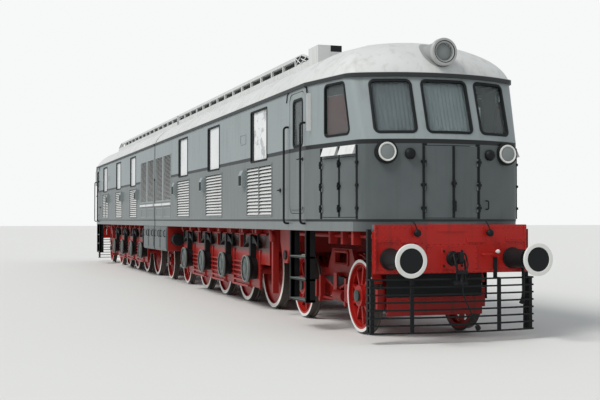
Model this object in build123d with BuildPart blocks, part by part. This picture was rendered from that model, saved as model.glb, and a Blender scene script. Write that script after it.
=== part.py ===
from build123d import *
import os
from math import hypot, radians, sin

# Twin-unit rail locomotive: two like halves, hinged together at the middle.
# +X runs to the leading cab, +Y to its left, +Z up. The origin is the middle of the
# length and width, at the lowest point of the wheel flanges.
# Every height below is above the rail head, and rail_head places the rail itself.
flange_depth = 28.0
rail_head = flange_depth

# Places along the length, from the middle of the whole locomotive; the cab and the leading
# bogie take theirs from the buffer beam, and the doors and windows from the wall they are in
half_gap = 60.0
beam_face = 13950.0
nose_ahead = 20.0
bow_rise = 370.0
taper_long = 1350.0
cab_long = 950.0
bogie_behind = 2450.0
bogie_half_base = 1250.0
driving_behind = 3000.0
driving_pitch = 1800.0
driving_count = 4
bissel_axle = 1050.0
bissel_arm = 1200.0
nose_x = beam_face + nose_ahead
corner_x = nose_x - bow_rise
side_end = corner_x - taper_long
cab_rear = side_end - cab_long
bogie_pivot = beam_face - bogie_behind
bogie_axles = (bogie_pivot + bogie_half_base, bogie_pivot - bogie_half_base)
driving_axles = [bogie_pivot - driving_behind - driving_pitch * number
                 for number in range(driving_count)]
bissel_pivot = bissel_axle + bissel_arm

# Widths, each the half width
body_half = 1445.0
corner_in = 285.0
corner_half = body_half - corner_in
front_inset = 280.0
corner_radius = 220.0
least_corner = 60.0
frame_half = 1100.0
frame_plate = 40.0
beam_half = 1090.0

# Heights above the rail head
skirt_low = 1400.0
floor_deep = 130.0
belt_high = 2600.0
gutter_low = 3440.0
gutter_deep = 60.0
roof_height = 605.0
beam_low = 860.0
beam_high = 1490.0
frame_low = 330.0
floor_top = skirt_low + floor_deep
gutter_high = gutter_low + gutter_deep
roof_foot = gutter_low + gutter_deep / 3

# Walls, sheets and clearances
wall = 60.0
roof_sheet = 60.0
deck_inset = 5.0
beam_thick = 80.0
glass_sheet = 12.0
leaf_sheet = 30.0
seat_gap = 0.3
door_gap = 8.0
knuckle_radius = 16.0
knuckle_long = 50.0
knuckle_room = 6.0
cut_room = 10.0

# Wheels
carrying_radius = 500.0
driving_radius = 675.0
tread_inner = 680.0
tread_outer = 815.0
tyre_thick = 70.0
axle_radius = 85.0
hub_radius = 150.0
journal_radius = 80.0
bearing_gap = 0.3

# Openings in the sides: centres along the length, half widths, lows and highs
window_centres = (9800.0, 6550.0, 3600.0)
window_half = 485.0
window_low = belt_high - 80
window_high = gutter_low - 90
louvre_halves = (770.0, 700.0, 675.0)
louvre_slats = 14
louvre_low = floor_top + 70
louvre_high = belt_high - 150
radiator_wide = 990.0
radiator_post = 80.0
radiator_start = 130.0
radiator_slats = 18
radiator_low = floor_top + 470
radiator_high = gutter_low - 320
radiator_bays = [(start, start + radiator_wide)
                 for start in (radiator_start, radiator_start + radiator_wide + radiator_post)]
cab_door_wide = 710.0
cab_door_after = side_end - 50.0
cab_door_span = (cab_door_after - cab_door_wide, cab_door_after)
cab_door_low = floor_top + 110
cab_door_high = gutter_low - 40
door_corner = 110.0
door_leaf_corner = door_corner + 25
door_sheet = 40.0
door_sink = 5.0
door_window = ((cab_door_span[0] + 170, cab_door_span[1] - 100),
               (belt_high + 20, cab_door_high - door_corner))
cab_door_hinge = (cab_door_span[0] + door_gap, body_half - door_sink - door_sheet)
cab_door_knuckles = (cab_door_low + 160, (cab_door_low + cab_door_high) / 2, cab_door_high - 200)
through = (-body_half - cut_room, body_half + cut_room)


def up(height):
    """Height above the rail head, as a place on the Z axis."""
    return rail_head + height


def block(x, y, z, mode=Mode.ADD):
    """Box between the low and high ends of three pairs; z is above the rail head."""
    middle = ((x[0] + x[1]) / 2, (y[0] + y[1]) / 2, up((z[0] + z[1]) / 2))
    with Locations(middle):
        Box(x[1] - x[0], y[1] - y[0], z[1] - z[0], mode=mode)


def opening(x, y, z, radius, mode=Mode.SUBTRACT):
    """Round-cornered opening through a side wall, cut or filled over the pair y."""
    place = Plane(origin=((x[0] + x[1]) / 2, y[1], up((z[0] + z[1]) / 2)), x_dir=(1, 0, 0),
                  z_dir=(0, -1, 0))
    with BuildSketch(place, mode=Mode.PRIVATE) as outline:
        RectangleRounded(x[1] - x[0], z[1] - z[0], radius)
    extrude(outline.sketch, y[1] - y[0], mode=mode)


def front_opening(x, y, z, radius, mode=Mode.SUBTRACT):
    """Round-cornered opening through the front wall, over the pair x."""
    place = Plane(origin=(x[0], (y[0] + y[1]) / 2, up((z[0] + z[1]) / 2)), x_dir=(0, 1, 0),
                  z_dir=(1, 0, 0))
    with BuildSketch(place, mode=Mode.PRIVATE) as outline:
        RectangleRounded(y[1] - y[0], z[1] - z[0], radius)
    extrude(outline.sketch, x[1] - x[0], mode=mode)


def both(y):
    """The pair y and its mirror image on the other side."""
    return ((y[0], y[1]), (-y[1], -y[0]))


def rod_y(x, y, z, radius, mode=Mode.ADD):
    """Round bar across the width, from y[0] to y[1]."""
    with Locations(Location((x, (y[0] + y[1]) / 2, up(z)), (90, 0, 0))):
        Cylinder(radius, y[1] - y[0], mode=mode)


def rod_x(x, y, z, radius, mode=Mode.ADD):
    """Round bar along the length, from x[0] to x[1]."""
    with Locations(Location(((x[0] + x[1]) / 2, y, up(z)), (0, 90, 0))):
        Cylinder(radius, x[1] - x[0], mode=mode)


def rod_z(x, y, z, radius, mode=Mode.ADD):
    """Upright round bar, from z[0] to z[1]."""
    with Locations((x, y, up((z[0] + z[1]) / 2))):
        Cylinder(radius, z[1] - z[0], mode=mode)


def turned_x(x, y, z, profile):
    """Turned form about an axis along the length; profile is (place ahead of x, radius)."""
    with BuildSketch(Plane(origin=(x, y, up(z)), x_dir=(1, 0, 0), z_dir=(0, -1, 0)),
                     mode=Mode.PRIVATE) as outline:
        with BuildLine():
            Polyline(*profile, close=True)
        make_face()
    revolve(outline.sketch, axis=Axis((x, y, up(z)), (1, 0, 0)))


def turned_y(x, y, z, side, profile):
    """Turned form about an axis across the width; profile is (place outwards of y, radius)."""
    with BuildSketch(Plane(origin=(x, y, up(z)), x_dir=(0, side, 0), z_dir=(side, 0, 0)),
                     mode=Mode.PRIVATE) as outline:
        with BuildLine():
            Polyline(*profile, close=True)
        make_face()
    revolve(outline.sketch, axis=Axis((x, y, up(z)), (0, 1, 0)))


def bent_rod(points, bend, radius):
    """Round bar along straight runs joined by bends of one radius."""
    with BuildLine(mode=Mode.PRIVATE) as path:
        FilletPolyline(*[(x, y, up(z)) for x, y, z in points], radius=bend)
    with BuildSketch(Plane(origin=path.line @ 0, z_dir=path.line % 0), mode=Mode.PRIVATE) as bar:
        Circle(radius)
    sweep(bar.sketch, path=path.line)


def save(part, name):
    """Labels the finished piece and writes it."""
    part.label = name
    export_step(part, "parts/" + name + ".step")


def save_both(part, name):
    """Writes the leading half's piece, and the same piece turned round for the other half."""
    save(part, name + "_a")
    save(part.rotate(Axis.Z, 180), name + "_b")


def plan(inset, lean, back):
    """Outline of the body seen from above, from the cab's taper to the bowed front.

    inset is taken off all round, lean moves the front back along the taper, and back
    is where the outline starts behind the taper."""
    taper = (body_half - corner_half) / (corner_x - side_end)
    slope = hypot(1, taper)
    half = body_half - inset
    front_x = corner_x - lean - inset
    front_half = body_half - inset * slope - (front_x - side_end) * taper
    nose = nose_x - lean - inset
    with BuildSketch(mode=Mode.PRIVATE) as outline:
        with BuildLine():
            rear = [(back, -half), (back, half)] if back < side_end else []
            Polyline((front_x, -front_half), (side_end, -half), *rear, (side_end, half),
                     (front_x, front_half))
            ThreePointArc((front_x, front_half), (nose, 0), (front_x, -front_half))
        make_face()
        corner = max(corner_radius - inset, least_corner)
        fillet(outline.vertices().sort_by(Axis.X)[-2:], corner)
    return outline.sketch


def shell_form(inset, back, low, high):
    """Solid of the cab's outside, or of its inside when inset is the wall."""
    with BuildPart(mode=Mode.PRIVATE) as form:
        extrude(plan(inset, 0, back).moved(Location((0, 0, up(low)))), belt_high - low)
        with BuildSketch(Plane.XY.offset(up(belt_high))) as lower:
            add(plan(inset, 0, back))
        with BuildSketch(Plane.XY.offset(up(high))) as upper:
            add(plan(inset, front_inset, back))
        loft([lower.sketch, upper.sketch])
    return form.part


def knuckles(x, y, heights, on_leaf):
    """Hinge barrels on one upright axis: the leaf's stand on the wall's, a hair apart.

    Each piece is first cut clear of the other's barrels."""
    for z in heights:
        leaf_part = (z, z + knuckle_long)
        wall_part = (z - seat_gap - knuckle_long, z - seat_gap)
        own, other = (leaf_part, wall_part) if on_leaf else (wall_part, leaf_part)
        reach = (other[0] - (knuckle_room if on_leaf else seat_gap),
                 other[1] + (seat_gap if on_leaf else knuckle_room))
        rod_z(x, y, reach, knuckle_radius + knuckle_room, mode=Mode.SUBTRACT)
        rod_z(x, y, own, knuckle_radius)


def taper_y(x):
    """Half width of the cab's outside at a place on its taper."""
    return body_half - (x - side_end) * (body_half - corner_half) / (corner_x - side_end)


def bow_x(y):
    """Place of the cab's bowed front below the windscreens, at a half width."""
    rise = nose_x - corner_x
    bow_radius = (corner_half ** 2 + rise ** 2) / (2 * rise)
    return nose_x - bow_radius + (bow_radius ** 2 - y ** 2) ** 0.5


def wheel_profile(radius, outer_end, cap_radius):
    """Half outline of one wheel and half its axle, as (distance from the middle, radius)."""
    rim = radius - tyre_thick
    return [
        (0, 0), (0, axle_radius), (tread_inner - 40, axle_radius), (tread_inner - 40, hub_radius),
        (tread_inner + 20, hub_radius), (tread_inner + 40, rim), (tread_inner, rim),
        (tread_inner, radius + flange_depth), (tread_inner + 20, radius + flange_depth),
        (tread_inner + 34, radius), (tread_outer, radius), (tread_outer, rim),
        (tread_inner + 90, rim), (tread_inner + 110, hub_radius), (tread_outer + 25, hub_radius),
        (tread_outer + 25, cap_radius), (outer_end, cap_radius), (outer_end, 0),
    ]


def wheelset(radius, outer_end, cap_radius, spokes):
    """Two wheels on their axle as one turning piece, with the gaps between its spokes."""
    with BuildPart() as wheels:
        with BuildSketch(Plane.YZ):
            with BuildLine():
                Polyline(*wheel_profile(radius, outer_end, cap_radius), close=True)
            make_face()
        revolve(axis=Axis.Y)
        mirror(about=Plane.XZ)
        if spokes:
            turn = 360 / spokes
            inner = hub_radius + 20
            outer = radius - tyre_thick - 25
            half_foot = inner * sin(radians(turn / 2)) - 22
            half_top = outer * sin(radians(turn / 2)) - 20
            with BuildSketch(Plane.XZ) as gaps:
                with PolarLocations(0, spokes):
                    with Locations(((inner + outer) / 2, 0)):
                        Polygon((inner - 300, -half_foot), (outer - 300, -half_top),
                                (outer - 300, half_top), (inner - 300, half_foot))
            extrude(gaps.sketch, amount=tread_outer + 30, both=True, mode=Mode.SUBTRACT)
    return wheels.part


os.makedirs("parts", exist_ok=True)

# Wheelsets: spoked carrying wheels, plain driving wheels with journals in the outside frame
journal_end = frame_half + frame_plate + 60
carrying_wheels = wheelset(carrying_radius, tread_outer + 55, 70, 10)
driving_wheels = wheelset(driving_radius, journal_end, journal_radius, 0)
for number, x in enumerate(bogie_axles, 1):
    save_both(carrying_wheels.moved(Location((x, 0, up(carrying_radius)))),
              "bogie_wheels_" + str(number))
save_both(carrying_wheels.moved(Location((bissel_axle, 0, up(carrying_radius)))), "pony_wheels")
for number, x in enumerate(driving_axles, 1):
    save_both(driving_wheels.moved(Location((x, 0, up(driving_radius)))),
              "driving_wheels_" + str(number))

# Underframe: deck, buffer beam, outside plate frames, stretchers and centre plates
centre_plate_z = 930.0
centre_plate = 200.0
centre_pin = 90.0
frame_span = (driving_axles[-1] - 900, driving_axles[0] + 900)
axle_gaps = list(zip(driving_axles[1:], driving_axles[:-1]))
stretchers = [(x + x_next) / 2 for x, x_next in axle_gaps]
stretchers += [frame_span[0] + 50, frame_span[1] - 50]
stretcher_low = 1000.0
horn_half = 330.0
plate_deep = 450.0
bracket_y = (520.0, 560.0)
bracket_long = 550.0
drag_plate = 200.0
drag_half = 500.0
rib_deep = 50.0
rib_pitch = 85.0
rib_count = 6
with BuildPart() as underframe:
    extrude(plan(deck_inset, 0, half_gap).moved(Location((0, 0, up(skirt_low)))),
            floor_top - skirt_low)
    block((beam_face - beam_thick, beam_face), (-beam_half, beam_half), (beam_low, beam_high))
    for y in both(bracket_y):
        block((beam_face - bracket_long, beam_face - beam_thick), y, (beam_low, skirt_low))
    for y in both((frame_half, frame_half + frame_plate)):
        block(frame_span, y, (frame_low + plate_deep, skirt_low))
        for x in driving_axles:
            block((x - horn_half, x + horn_half), y, (frame_low + 30, frame_low + plate_deep))
        for x, x_next in axle_gaps:
            gap = (x + horn_half, x_next - horn_half)
            block(gap, y, (frame_low, frame_low + plate_deep))
            side = 1 if y[0] > 0 else -1
            rib_y = side * (frame_half + frame_plate + rib_deep / 2)
            rows = [frame_low + 35 + number * rib_pitch for number in range(rib_count)]
            with Locations(*[((x + x_next) / 2, rib_y, up(row)) for row in rows]):
                Box(gap[1] - gap[0], rib_deep, 30)
    for x in driving_axles:
        rod_y(x, (-frame_half - 100, frame_half + 100), driving_radius,
              journal_radius + bearing_gap, mode=Mode.SUBTRACT)
    for x in stretchers:
        block((x - 50, x + 50), (-frame_half, frame_half), (stretcher_low, skirt_low))
    for x in (bogie_pivot, bissel_pivot):
        rod_z(x, 0, (centre_plate_z, skirt_low), centre_plate)
        rod_z(x, 0, (centre_plate_z - 200, centre_plate_z), centre_pin)
    block((drag_plate, drag_plate + 60), (-drag_half, drag_half), (centre_plate_z + 20, skirt_low))

coupler_low = 1080.0
fork_half = 110.0
fork_leaf = 40.0
fork_high = 160.0
fork_pin = 40.0
tongue_half = 90.0
tongue_z = (coupler_low + fork_leaf + 10, coupler_low + fork_high - fork_leaf - 10)
with BuildPart() as centre_fork:
    add(underframe.part)
    for z in (coupler_low, coupler_low + fork_high - fork_leaf):
        block((0, drag_plate), (-fork_half, fork_half), (z, z + fork_leaf))
        rod_z(0, 0, (z, z + fork_leaf), fork_half)
    rod_z(0, 0, (coupler_low - 20, coupler_low + fork_high + 20), fork_pin)
save(centre_fork.part, "underframe_a")
with BuildPart() as centre_tongue:
    add(underframe.part.rotate(Axis.Z, 180))
    block((-drag_plate, 0), (-tongue_half, tongue_half), tongue_z)
    rod_z(0, 0, tongue_z, tongue_half)
    rod_z(0, 0, (coupler_low, coupler_low + fork_high), fork_pin + bearing_gap,
          mode=Mode.SUBTRACT)
save(centre_tongue.part, "underframe_b")

# Long side walls with their windows, louvre and radiator openings and the cab doorway
with BuildPart() as side_walls:
    for y in both((body_half - wall, body_half)):
        block((half_gap, side_end), y, (floor_top, gutter_low))
    for centre, half in zip(window_centres, louvre_halves):
        block((centre - window_half, centre + window_half), through,
              (window_low, window_high), mode=Mode.SUBTRACT)
        block((centre - half, centre + half), through, (louvre_low, louvre_high),
              mode=Mode.SUBTRACT)
    for bay in radiator_bays:
        block(bay, through, (radiator_low, radiator_high), mode=Mode.SUBTRACT)
    opening(cab_door_span, through, (cab_door_low, cab_door_high), door_corner)
    for side in (-1, 1):
        knuckles(cab_door_hinge[0], side * cab_door_hinge[1], cab_door_knuckles, False)
save_both(side_walls.part, "side_walls")

# Cab: tapered sides, bowed front with three windscreens, and the door openings below them
front_cut = corner_x - 50.0
nose_door_half = 385.0
nose_door_low = floor_top + 40
nose_door_high = belt_high - 80
middle_screen_half = 320.0
screen_post = 145.0
side_screen = 505.0
screen_low = belt_high + 90
screen_high = gutter_low - 50
pane_corner = 60.0
cabinet_wide = 840.0
cabinet_after = front_cut - 20.0
cabinet_span = (cabinet_after - cabinet_wide, cabinet_after)
cabinet_low = floor_top + 50
cabinet_high = belt_high - 210
cab_window_rear = side_end + 515
cab_window_wide = 620.0
cab_window_slope = 145.0
leaf_knuckles = (cabinet_low + 120, (cabinet_low + cabinet_high) / 2, cabinet_high - 90)
side_inner = middle_screen_half + screen_post
windscreens = ((-side_inner - side_screen, -side_inner), (-middle_screen_half, middle_screen_half),
               (side_inner, side_inner + side_screen))
nose_hinge_y = nose_door_half - door_gap
cabinet_hinges = (cabinet_span[0] + door_gap, cabinet_span[1] - door_gap)


def cab_window(y, mode=Mode.SUBTRACT):
    """The cab's side window: upright behind, sloping with the corner in front."""
    front = cab_window_rear + cab_window_wide
    with BuildSketch(Plane(origin=(0, y[1], 0), x_dir=(1, 0, 0), z_dir=(0, -1, 0)),
                     mode=Mode.PRIVATE) as outline:
        Polygon((cab_window_rear, up(screen_low)), (front, up(screen_low)),
                (front - cab_window_slope, up(screen_high)), (cab_window_rear, up(screen_high)),
                align=None)
        fillet(outline.vertices(), pane_corner)
    extrude(outline.sketch, y[1] - y[0], mode=mode)


def nose_zone(ahead):
    """The space ahead of the joint between cab sides and nose, leaning with the corner."""
    top = gutter_high + 100
    back = front_inset * (top - belt_high) / (gutter_low - belt_high)
    with BuildPart(mode=Mode.PRIVATE) as zone:
        with BuildSketch(Plane.XZ):
            Polygon((front_cut + ahead, up(skirt_low)), (nose_x + 200, up(skirt_low)),
                    (nose_x + 200, up(top)), (front_cut + ahead - back, up(top)),
                    (front_cut + ahead, up(belt_high)), align=None)
        extrude(amount=body_half + 100, both=True)
    return zone.part


with BuildPart() as cab_shell:
    add(shell_form(0, side_end, floor_top, gutter_low))
    add(shell_form(wall, side_end - 50, floor_top, gutter_low), mode=Mode.SUBTRACT)
    block(cabinet_span, through, (cabinet_low, cabinet_high), mode=Mode.SUBTRACT)
    cab_window(through)
    block((corner_x - 250, nose_x + 50), (-nose_door_half, nose_door_half),
          (nose_door_low, nose_door_high), mode=Mode.SUBTRACT)
    for screen in windscreens:
        front_opening((corner_x - 350, nose_x + 50), screen, (screen_low, screen_high),
                      pane_corner)

with BuildPart() as cab_front:
    add(cab_shell.part)
    add(nose_zone(0), mode=Mode.INTERSECT)
    for side in (-1, 1):
        knuckles(bow_x(nose_hinge_y), side * nose_hinge_y, leaf_knuckles, False)
save_both(cab_front.part, "cab_front")
with BuildPart() as cab_sides:
    add(cab_shell.part)
    add(nose_zone(0), mode=Mode.SUBTRACT)
    for side in (-1, 1):
        for x in cabinet_hinges:
            knuckles(x, side * taper_y(x), leaf_knuckles, False)
save_both(cab_sides.part, "cab_sides")

# Roof: arched sheet over the body, drawn in over the cab, with the gutter round its foot
roof_lamp_front = nose_x - 230
roof_lamp_long = 690.0
roof_lamp_z = roof_foot + 320
roof_lamp_radius = 182.0
roof_lamp_lens = 118.0
roof_lamp_rim = 60.0
lantern_half = 850.0
lantern_start = 100.0
lantern_bays = 14
lantern_bay = 700.0
lantern_lead = 900.0
lantern_foot = roof_foot + 390
lantern_sill = roof_foot + 625
lantern_lintel = roof_foot + 725
lantern_top = roof_foot + 780
lantern_post = (50.0, 40.0)
cowl_y = (-1000.0, -620.0)
roof_insets = (0.0, 50.0, 160.0, 330.0, 560.0, 850.0)


def roof_rise(inset):
    """Height of the roof above its foot, at a distance in from the outline of its foot."""
    return roof_height * (1 - (1 - inset / body_half) ** 3) ** 0.714


def roof_form(sheet, start):
    """Solid under the roof sheet, or inside it: level outlines drawn in towards the ridge."""
    with BuildPart(mode=Mode.PRIVATE) as form:
        for inset in roof_insets:
            height = roof_foot + roof_rise(inset) - sheet
            with BuildSketch(Plane.XY.offset(up(height))):
                add(plan(sheet + inset, front_inset - 20, start))
        loft()
        if sheet:
            extrude(plan(sheet, front_inset - 20, start).moved(
                Location((0, 0, up(gutter_low) - sheet))), sheet + gutter_deep)
    return form.part


with BuildPart() as roof:
    add(roof_form(0, half_gap))
    gutter = plan(-20, front_inset - 20, half_gap)
    extrude(gutter.moved(Location((0, 0, up(gutter_low)))), gutter_high - gutter_low)
    lantern_end = lantern_start + lantern_bays * lantern_bay
    lead = lantern_end + lantern_lead
    block((lantern_start, lantern_end), (-lantern_half, lantern_half),
          (lantern_lintel, lantern_top))
    block((lantern_start, lead), (-lantern_half, lantern_half), (lantern_foot, lantern_sill))
    block((lantern_start, lantern_end), (-lantern_half + 90, lantern_half - 90),
          (lantern_sill, lantern_lintel))
    middle = ((lantern_start + lantern_end) / 2, 0, up((lantern_sill + lantern_lintel) / 2))
    with Locations(middle):
        with GridLocations(lantern_bay, 2 * lantern_half - lantern_post[1], lantern_bays + 1, 2):
            Box(*lantern_post, lantern_lintel - lantern_sill)
    for y in both((lantern_half - lantern_post[1], lantern_half)):
        with BuildSketch(Plane(origin=(0, y[1], 0), x_dir=(1, 0, 0), z_dir=(0, -1, 0)),
                         mode=Mode.PRIVATE) as gusset:
            Polygon((lantern_end, up(lantern_sill)), (lead, up(lantern_sill)),
                    (lantern_end + 350, up(lantern_top)), (lantern_end, up(lantern_top)),
                    align=None)
        extrude(gusset.sketch, lantern_post[1])
    block((lead + 250, lead + 700), cowl_y, (lantern_foot - 150, lantern_lintel))
    rod_x((roof_lamp_front - roof_lamp_long, roof_lamp_front - roof_lamp_rim), 0, roof_lamp_z,
          roof_lamp_radius - 25)
    rod_x((roof_lamp_front - roof_lamp_rim, roof_lamp_front), 0, roof_lamp_z, roof_lamp_radius)
    rod_x((roof_lamp_front - 40, roof_lamp_front + 1), 0, roof_lamp_z, roof_lamp_lens,
          mode=Mode.SUBTRACT)
    add(roof_form(roof_sheet, half_gap - 10), mode=Mode.SUBTRACT)
save_both(roof.part, "roof")

# Inside the body: cab bulkhead, end wall, driver's desk and seat, curtains behind the two
# windscreens on the driver's side, and the engine
inner_half = body_half - wall - 1
bulkhead = 40.0
desk_x = (side_end + 650, side_end + 1000)
desk_half = 900.0
desk_high = 2400.0
seat_x = side_end + 100
seat_y = -550.0
seat_half = 230.0
seat_high = 1980.0
seat_cushion = 100.0
curtain_thick = 20.0
curtain_room = 30.0
curtain_z = (screen_low - curtain_room, screen_high + curtain_room)
with BuildPart() as curtains:
    add(shell_form(wall + seat_gap, side_end, floor_top, gutter_low))
    add(shell_form(wall + seat_gap + curtain_thick, side_end - 50, floor_top, gutter_low),
        mode=Mode.SUBTRACT)
    with BuildPart(mode=Mode.INTERSECT):
        for screen in windscreens[:2]:
            block((front_cut - 400, nose_x), (screen[0] - curtain_room, screen[1] + curtain_room),
                  curtain_z)

with BuildPart() as inner_fittings:
    block((cab_rear, cab_rear + bulkhead), (-inner_half, inner_half), (floor_top, gutter_low))
    block((half_gap, half_gap + bulkhead), (-inner_half, inner_half), (floor_top, gutter_low))
    block(desk_x, (-desk_half, desk_half), (floor_top, desk_high))
    rod_z(seat_x, seat_y, (floor_top, seat_high), 60)
    seat_span = (seat_y - seat_half, seat_y + seat_half)
    block((seat_x - 200, seat_x + 200), seat_span, (seat_high, seat_high + seat_cushion))
    block((seat_x - 200, seat_x - 130), seat_span, (seat_high + seat_cushion, seat_high + 620))
    add(curtains.part)
save_both(inner_fittings.part, "inner_fittings")
engine_x = (3300.0, 8600.0)
engine_half = 600.0
engine_high = 3300.0
with BuildPart() as engine:
    block(engine_x, (-engine_half, engine_half), (floor_top, engine_high))
save_both(engine.part, "engine")

# Window glass, set in the middle of each wall
with BuildPart() as glass:
    for y in both((body_half - wall / 2 - glass_sheet, body_half - wall / 2)):
        for centre in window_centres:
            block((centre - window_half, centre + window_half), y, (window_low, window_high))
with BuildPart() as cab_glass:
    add(shell_form(wall / 2 - glass_sheet / 2, side_end, floor_top, gutter_low))
    add(shell_form(wall / 2 + glass_sheet / 2, side_end - 50, floor_top, gutter_low),
        mode=Mode.SUBTRACT)
    with BuildPart(mode=Mode.INTERSECT):
        cab_window(through, mode=Mode.ADD)
        for screen in windscreens:
            front_opening((corner_x - 350, nose_x + 50), screen, (screen_low, screen_high),
                          pane_corner, mode=Mode.ADD)
with BuildPart() as all_glass:
    add(glass.part)
    add(cab_glass.part)
save_both(all_glass.part, "window_glass")

# Louvres and radiator grilles: a frame round level slats, each let into its opening
grille_deep = 50.0
grille_rim = 30.0
slat_deep = 28.0
slat_sink = 2.0
slat_share = 0.45
with BuildPart() as grilles:
    for y in both((body_half - grille_deep, body_half)):
        side = 1 if y[0] > 0 else -1
        bays = [((centre - half, centre + half), (louvre_low, louvre_high), louvre_slats)
                for centre, half in zip(window_centres, louvre_halves)]
        bays += [(bay, (radiator_low, radiator_high), radiator_slats) for bay in radiator_bays]
        for x, z, slats in bays:
            block(x, y, z)
            depth = sorted((side * (body_half - slat_deep - slat_sink),
                            side * (body_half + cut_room)))
            block((x[0] + grille_rim, x[1] - grille_rim), depth,
                  (z[0] + grille_rim, z[1] - grille_rim), mode=Mode.SUBTRACT)
            pitch = (z[1] - z[0] - 2 * grille_rim) / slats
            middle = (x[0] + x[1]) / 2
            rows = [z[0] + grille_rim + (number + 0.5) * pitch for number in range(slats)]
            slat_y = side * (body_half - slat_sink - slat_deep / 2)
            with Locations(*[(middle, slat_y, up(row)) for row in rows]):
                Box(x[1] - x[0] - 2 * grille_rim, slat_deep, pitch * slat_share)
save_both(grilles.part, "grilles")

# Buffers and draw gear on the beam: each buffer a turned form of flange, housing, plunger
# and head; the hook with its two hanging links
buffer_half = 875.0
buffer_z = 1050.0
buffer_long = 675.0
buffer_head = 210.0
hook_ahead = 235.0
hook_half = 30.0
link_y = (45.0, 70.0)
link_long = 330.0
with BuildPart() as draw_gear:
    buffer = [(0, 0), (0, 190), (30, 190), (30, 150), (60, 140), (410, 136), (420, 150),
              (445, 150), (445, 95), (buffer_long - 60, 95), (buffer_long - 45, buffer_head - 50),
              (buffer_long - 30, buffer_head), (buffer_long, buffer_head), (buffer_long, 0)]
    for side in (-1, 1):
        turned_x(beam_face, side * buffer_half, buffer_z, buffer)
    hook_x = beam_face + hook_ahead
    block((beam_face, beam_face + 20), (-160, 160), (buffer_z - 140, buffer_z + 140))
    rod_x((beam_face, hook_x - 115), 0, buffer_z, 60)
    block((hook_x - 135, hook_x + 55), (-hook_half, hook_half), (buffer_z - 60, buffer_z + 70))
    for y in both(link_y):
        block((hook_x - 25, hook_x + 25), y, (buffer_z - link_long, buffer_z + 30))
    rod_y(hook_x, (-link_y[1], link_y[1]), buffer_z, 22)
    rod_y(hook_x, (-link_y[1] - 20, link_y[1] + 20), buffer_z - link_long, 30)
save_both(draw_gear.part, "draw_gear")

# Ironwork: pilot bars, their uprights, cab steps and handrails
pilot_x = beam_face + 170
pilot_bow = 120.0
pilot_return = 150.0
pilot_half = beam_half + 80
pilot_low = 100.0
pilot_high = 780.0
pilot_bars = 8
pilot_bar = 14.0
pilot_deep = 22.0
post_half = 25.0
post_y = pilot_half - pilot_bar - post_half
stay_y = 620.0
ladder_treads = (380.0, 680.0, 1000.0)
rail_stand = 75.0
rail_radius = 16.0
rail_ends = (floor_top - 30, gutter_low - 510)
rail_bend = 45.0


def pilot_outline(inset):
    """Outside or inside of one pilot bar seen from above: a bowed front and two returns."""
    half = pilot_half - inset
    bow = pilot_x - pilot_bow - inset
    rear = bow - pilot_return
    with BuildSketch(mode=Mode.PRIVATE) as outline:
        with BuildLine():
            Polyline((bow, -half), (rear, -half), (rear, half), (bow, half))
            ThreePointArc((bow, half), (pilot_x - inset, 0), (bow, -half))
        make_face()
    return outline.sketch


with BuildPart() as pilot:
    pitch = (pilot_high - pilot_low) / (pilot_bars - 1)
    for number in range(pilot_bars):
        with BuildSketch(Plane.XY.offset(up(pilot_low + number * pitch))) as bar:
            add(pilot_outline(0))
            add(pilot_outline(pilot_bar), mode=Mode.SUBTRACT)
            rear = pilot_x - pilot_bow - pilot_return - 2 * pilot_bar
            with Locations((rear, 0)):
                Rectangle(4 * pilot_bar, 2 * (pilot_half - pilot_bar), mode=Mode.SUBTRACT)
        extrude(bar.sketch, pilot_deep)
    top = pilot_high + pilot_deep
    for y in (-stay_y, stay_y):
        stay = (y - post_half, y + post_half)
        face = pilot_x - pilot_bow * (y / pilot_half) ** 2 - pilot_bar
        block((face - 20, face), stay, (pilot_low, top))
        block((beam_face, face), stay, (top - 20, top))
        block((beam_face, beam_face + 20), stay, (top - 20, beam_low + 200))
    for y in both((post_y - post_half, post_y + post_half)):
        corner = pilot_x - pilot_bow - pilot_bar
        block((corner - 2 * post_half, corner), y, (pilot_low, top))
        rear = corner - pilot_return
        block((rear, rear + 2 * post_half), y, (pilot_low, beam_high - 60))
        block((rear + 2 * post_half - 15, beam_face), y, (top - 20, top))
with BuildPart() as steps:
    for side in (-1, 1):
        outer = side * (body_half - 25)
        inner = side * (body_half - 75)
        for x in (cab_door_span[0] - 20, cab_door_span[1] - 10):
            block((x, x + 30), sorted((inner, outer)), (ladder_treads[0], skirt_low))
        for z in ladder_treads:
            tread = sorted((side * (body_half - 160), side * (body_half - 10)))
            block((cab_door_span[0] - 20, cab_door_span[1] + 20), tread, (z, z + 25))
        for x in (cab_door_span[0] - 50, cab_door_span[1] + 30):
            stand = side * (body_half + rail_stand)
            seat = side * (body_half + seat_gap)
            bent_rod([(x, seat, rail_ends[0]), (x, stand, rail_ends[0]),
                      (x, stand, rail_ends[1]), (x, seat, rail_ends[1])], rail_bend, rail_radius)
with BuildPart() as all_iron:
    add(pilot.part)
    add(steps.part)
save_both(all_iron.part, "ironwork")

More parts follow.
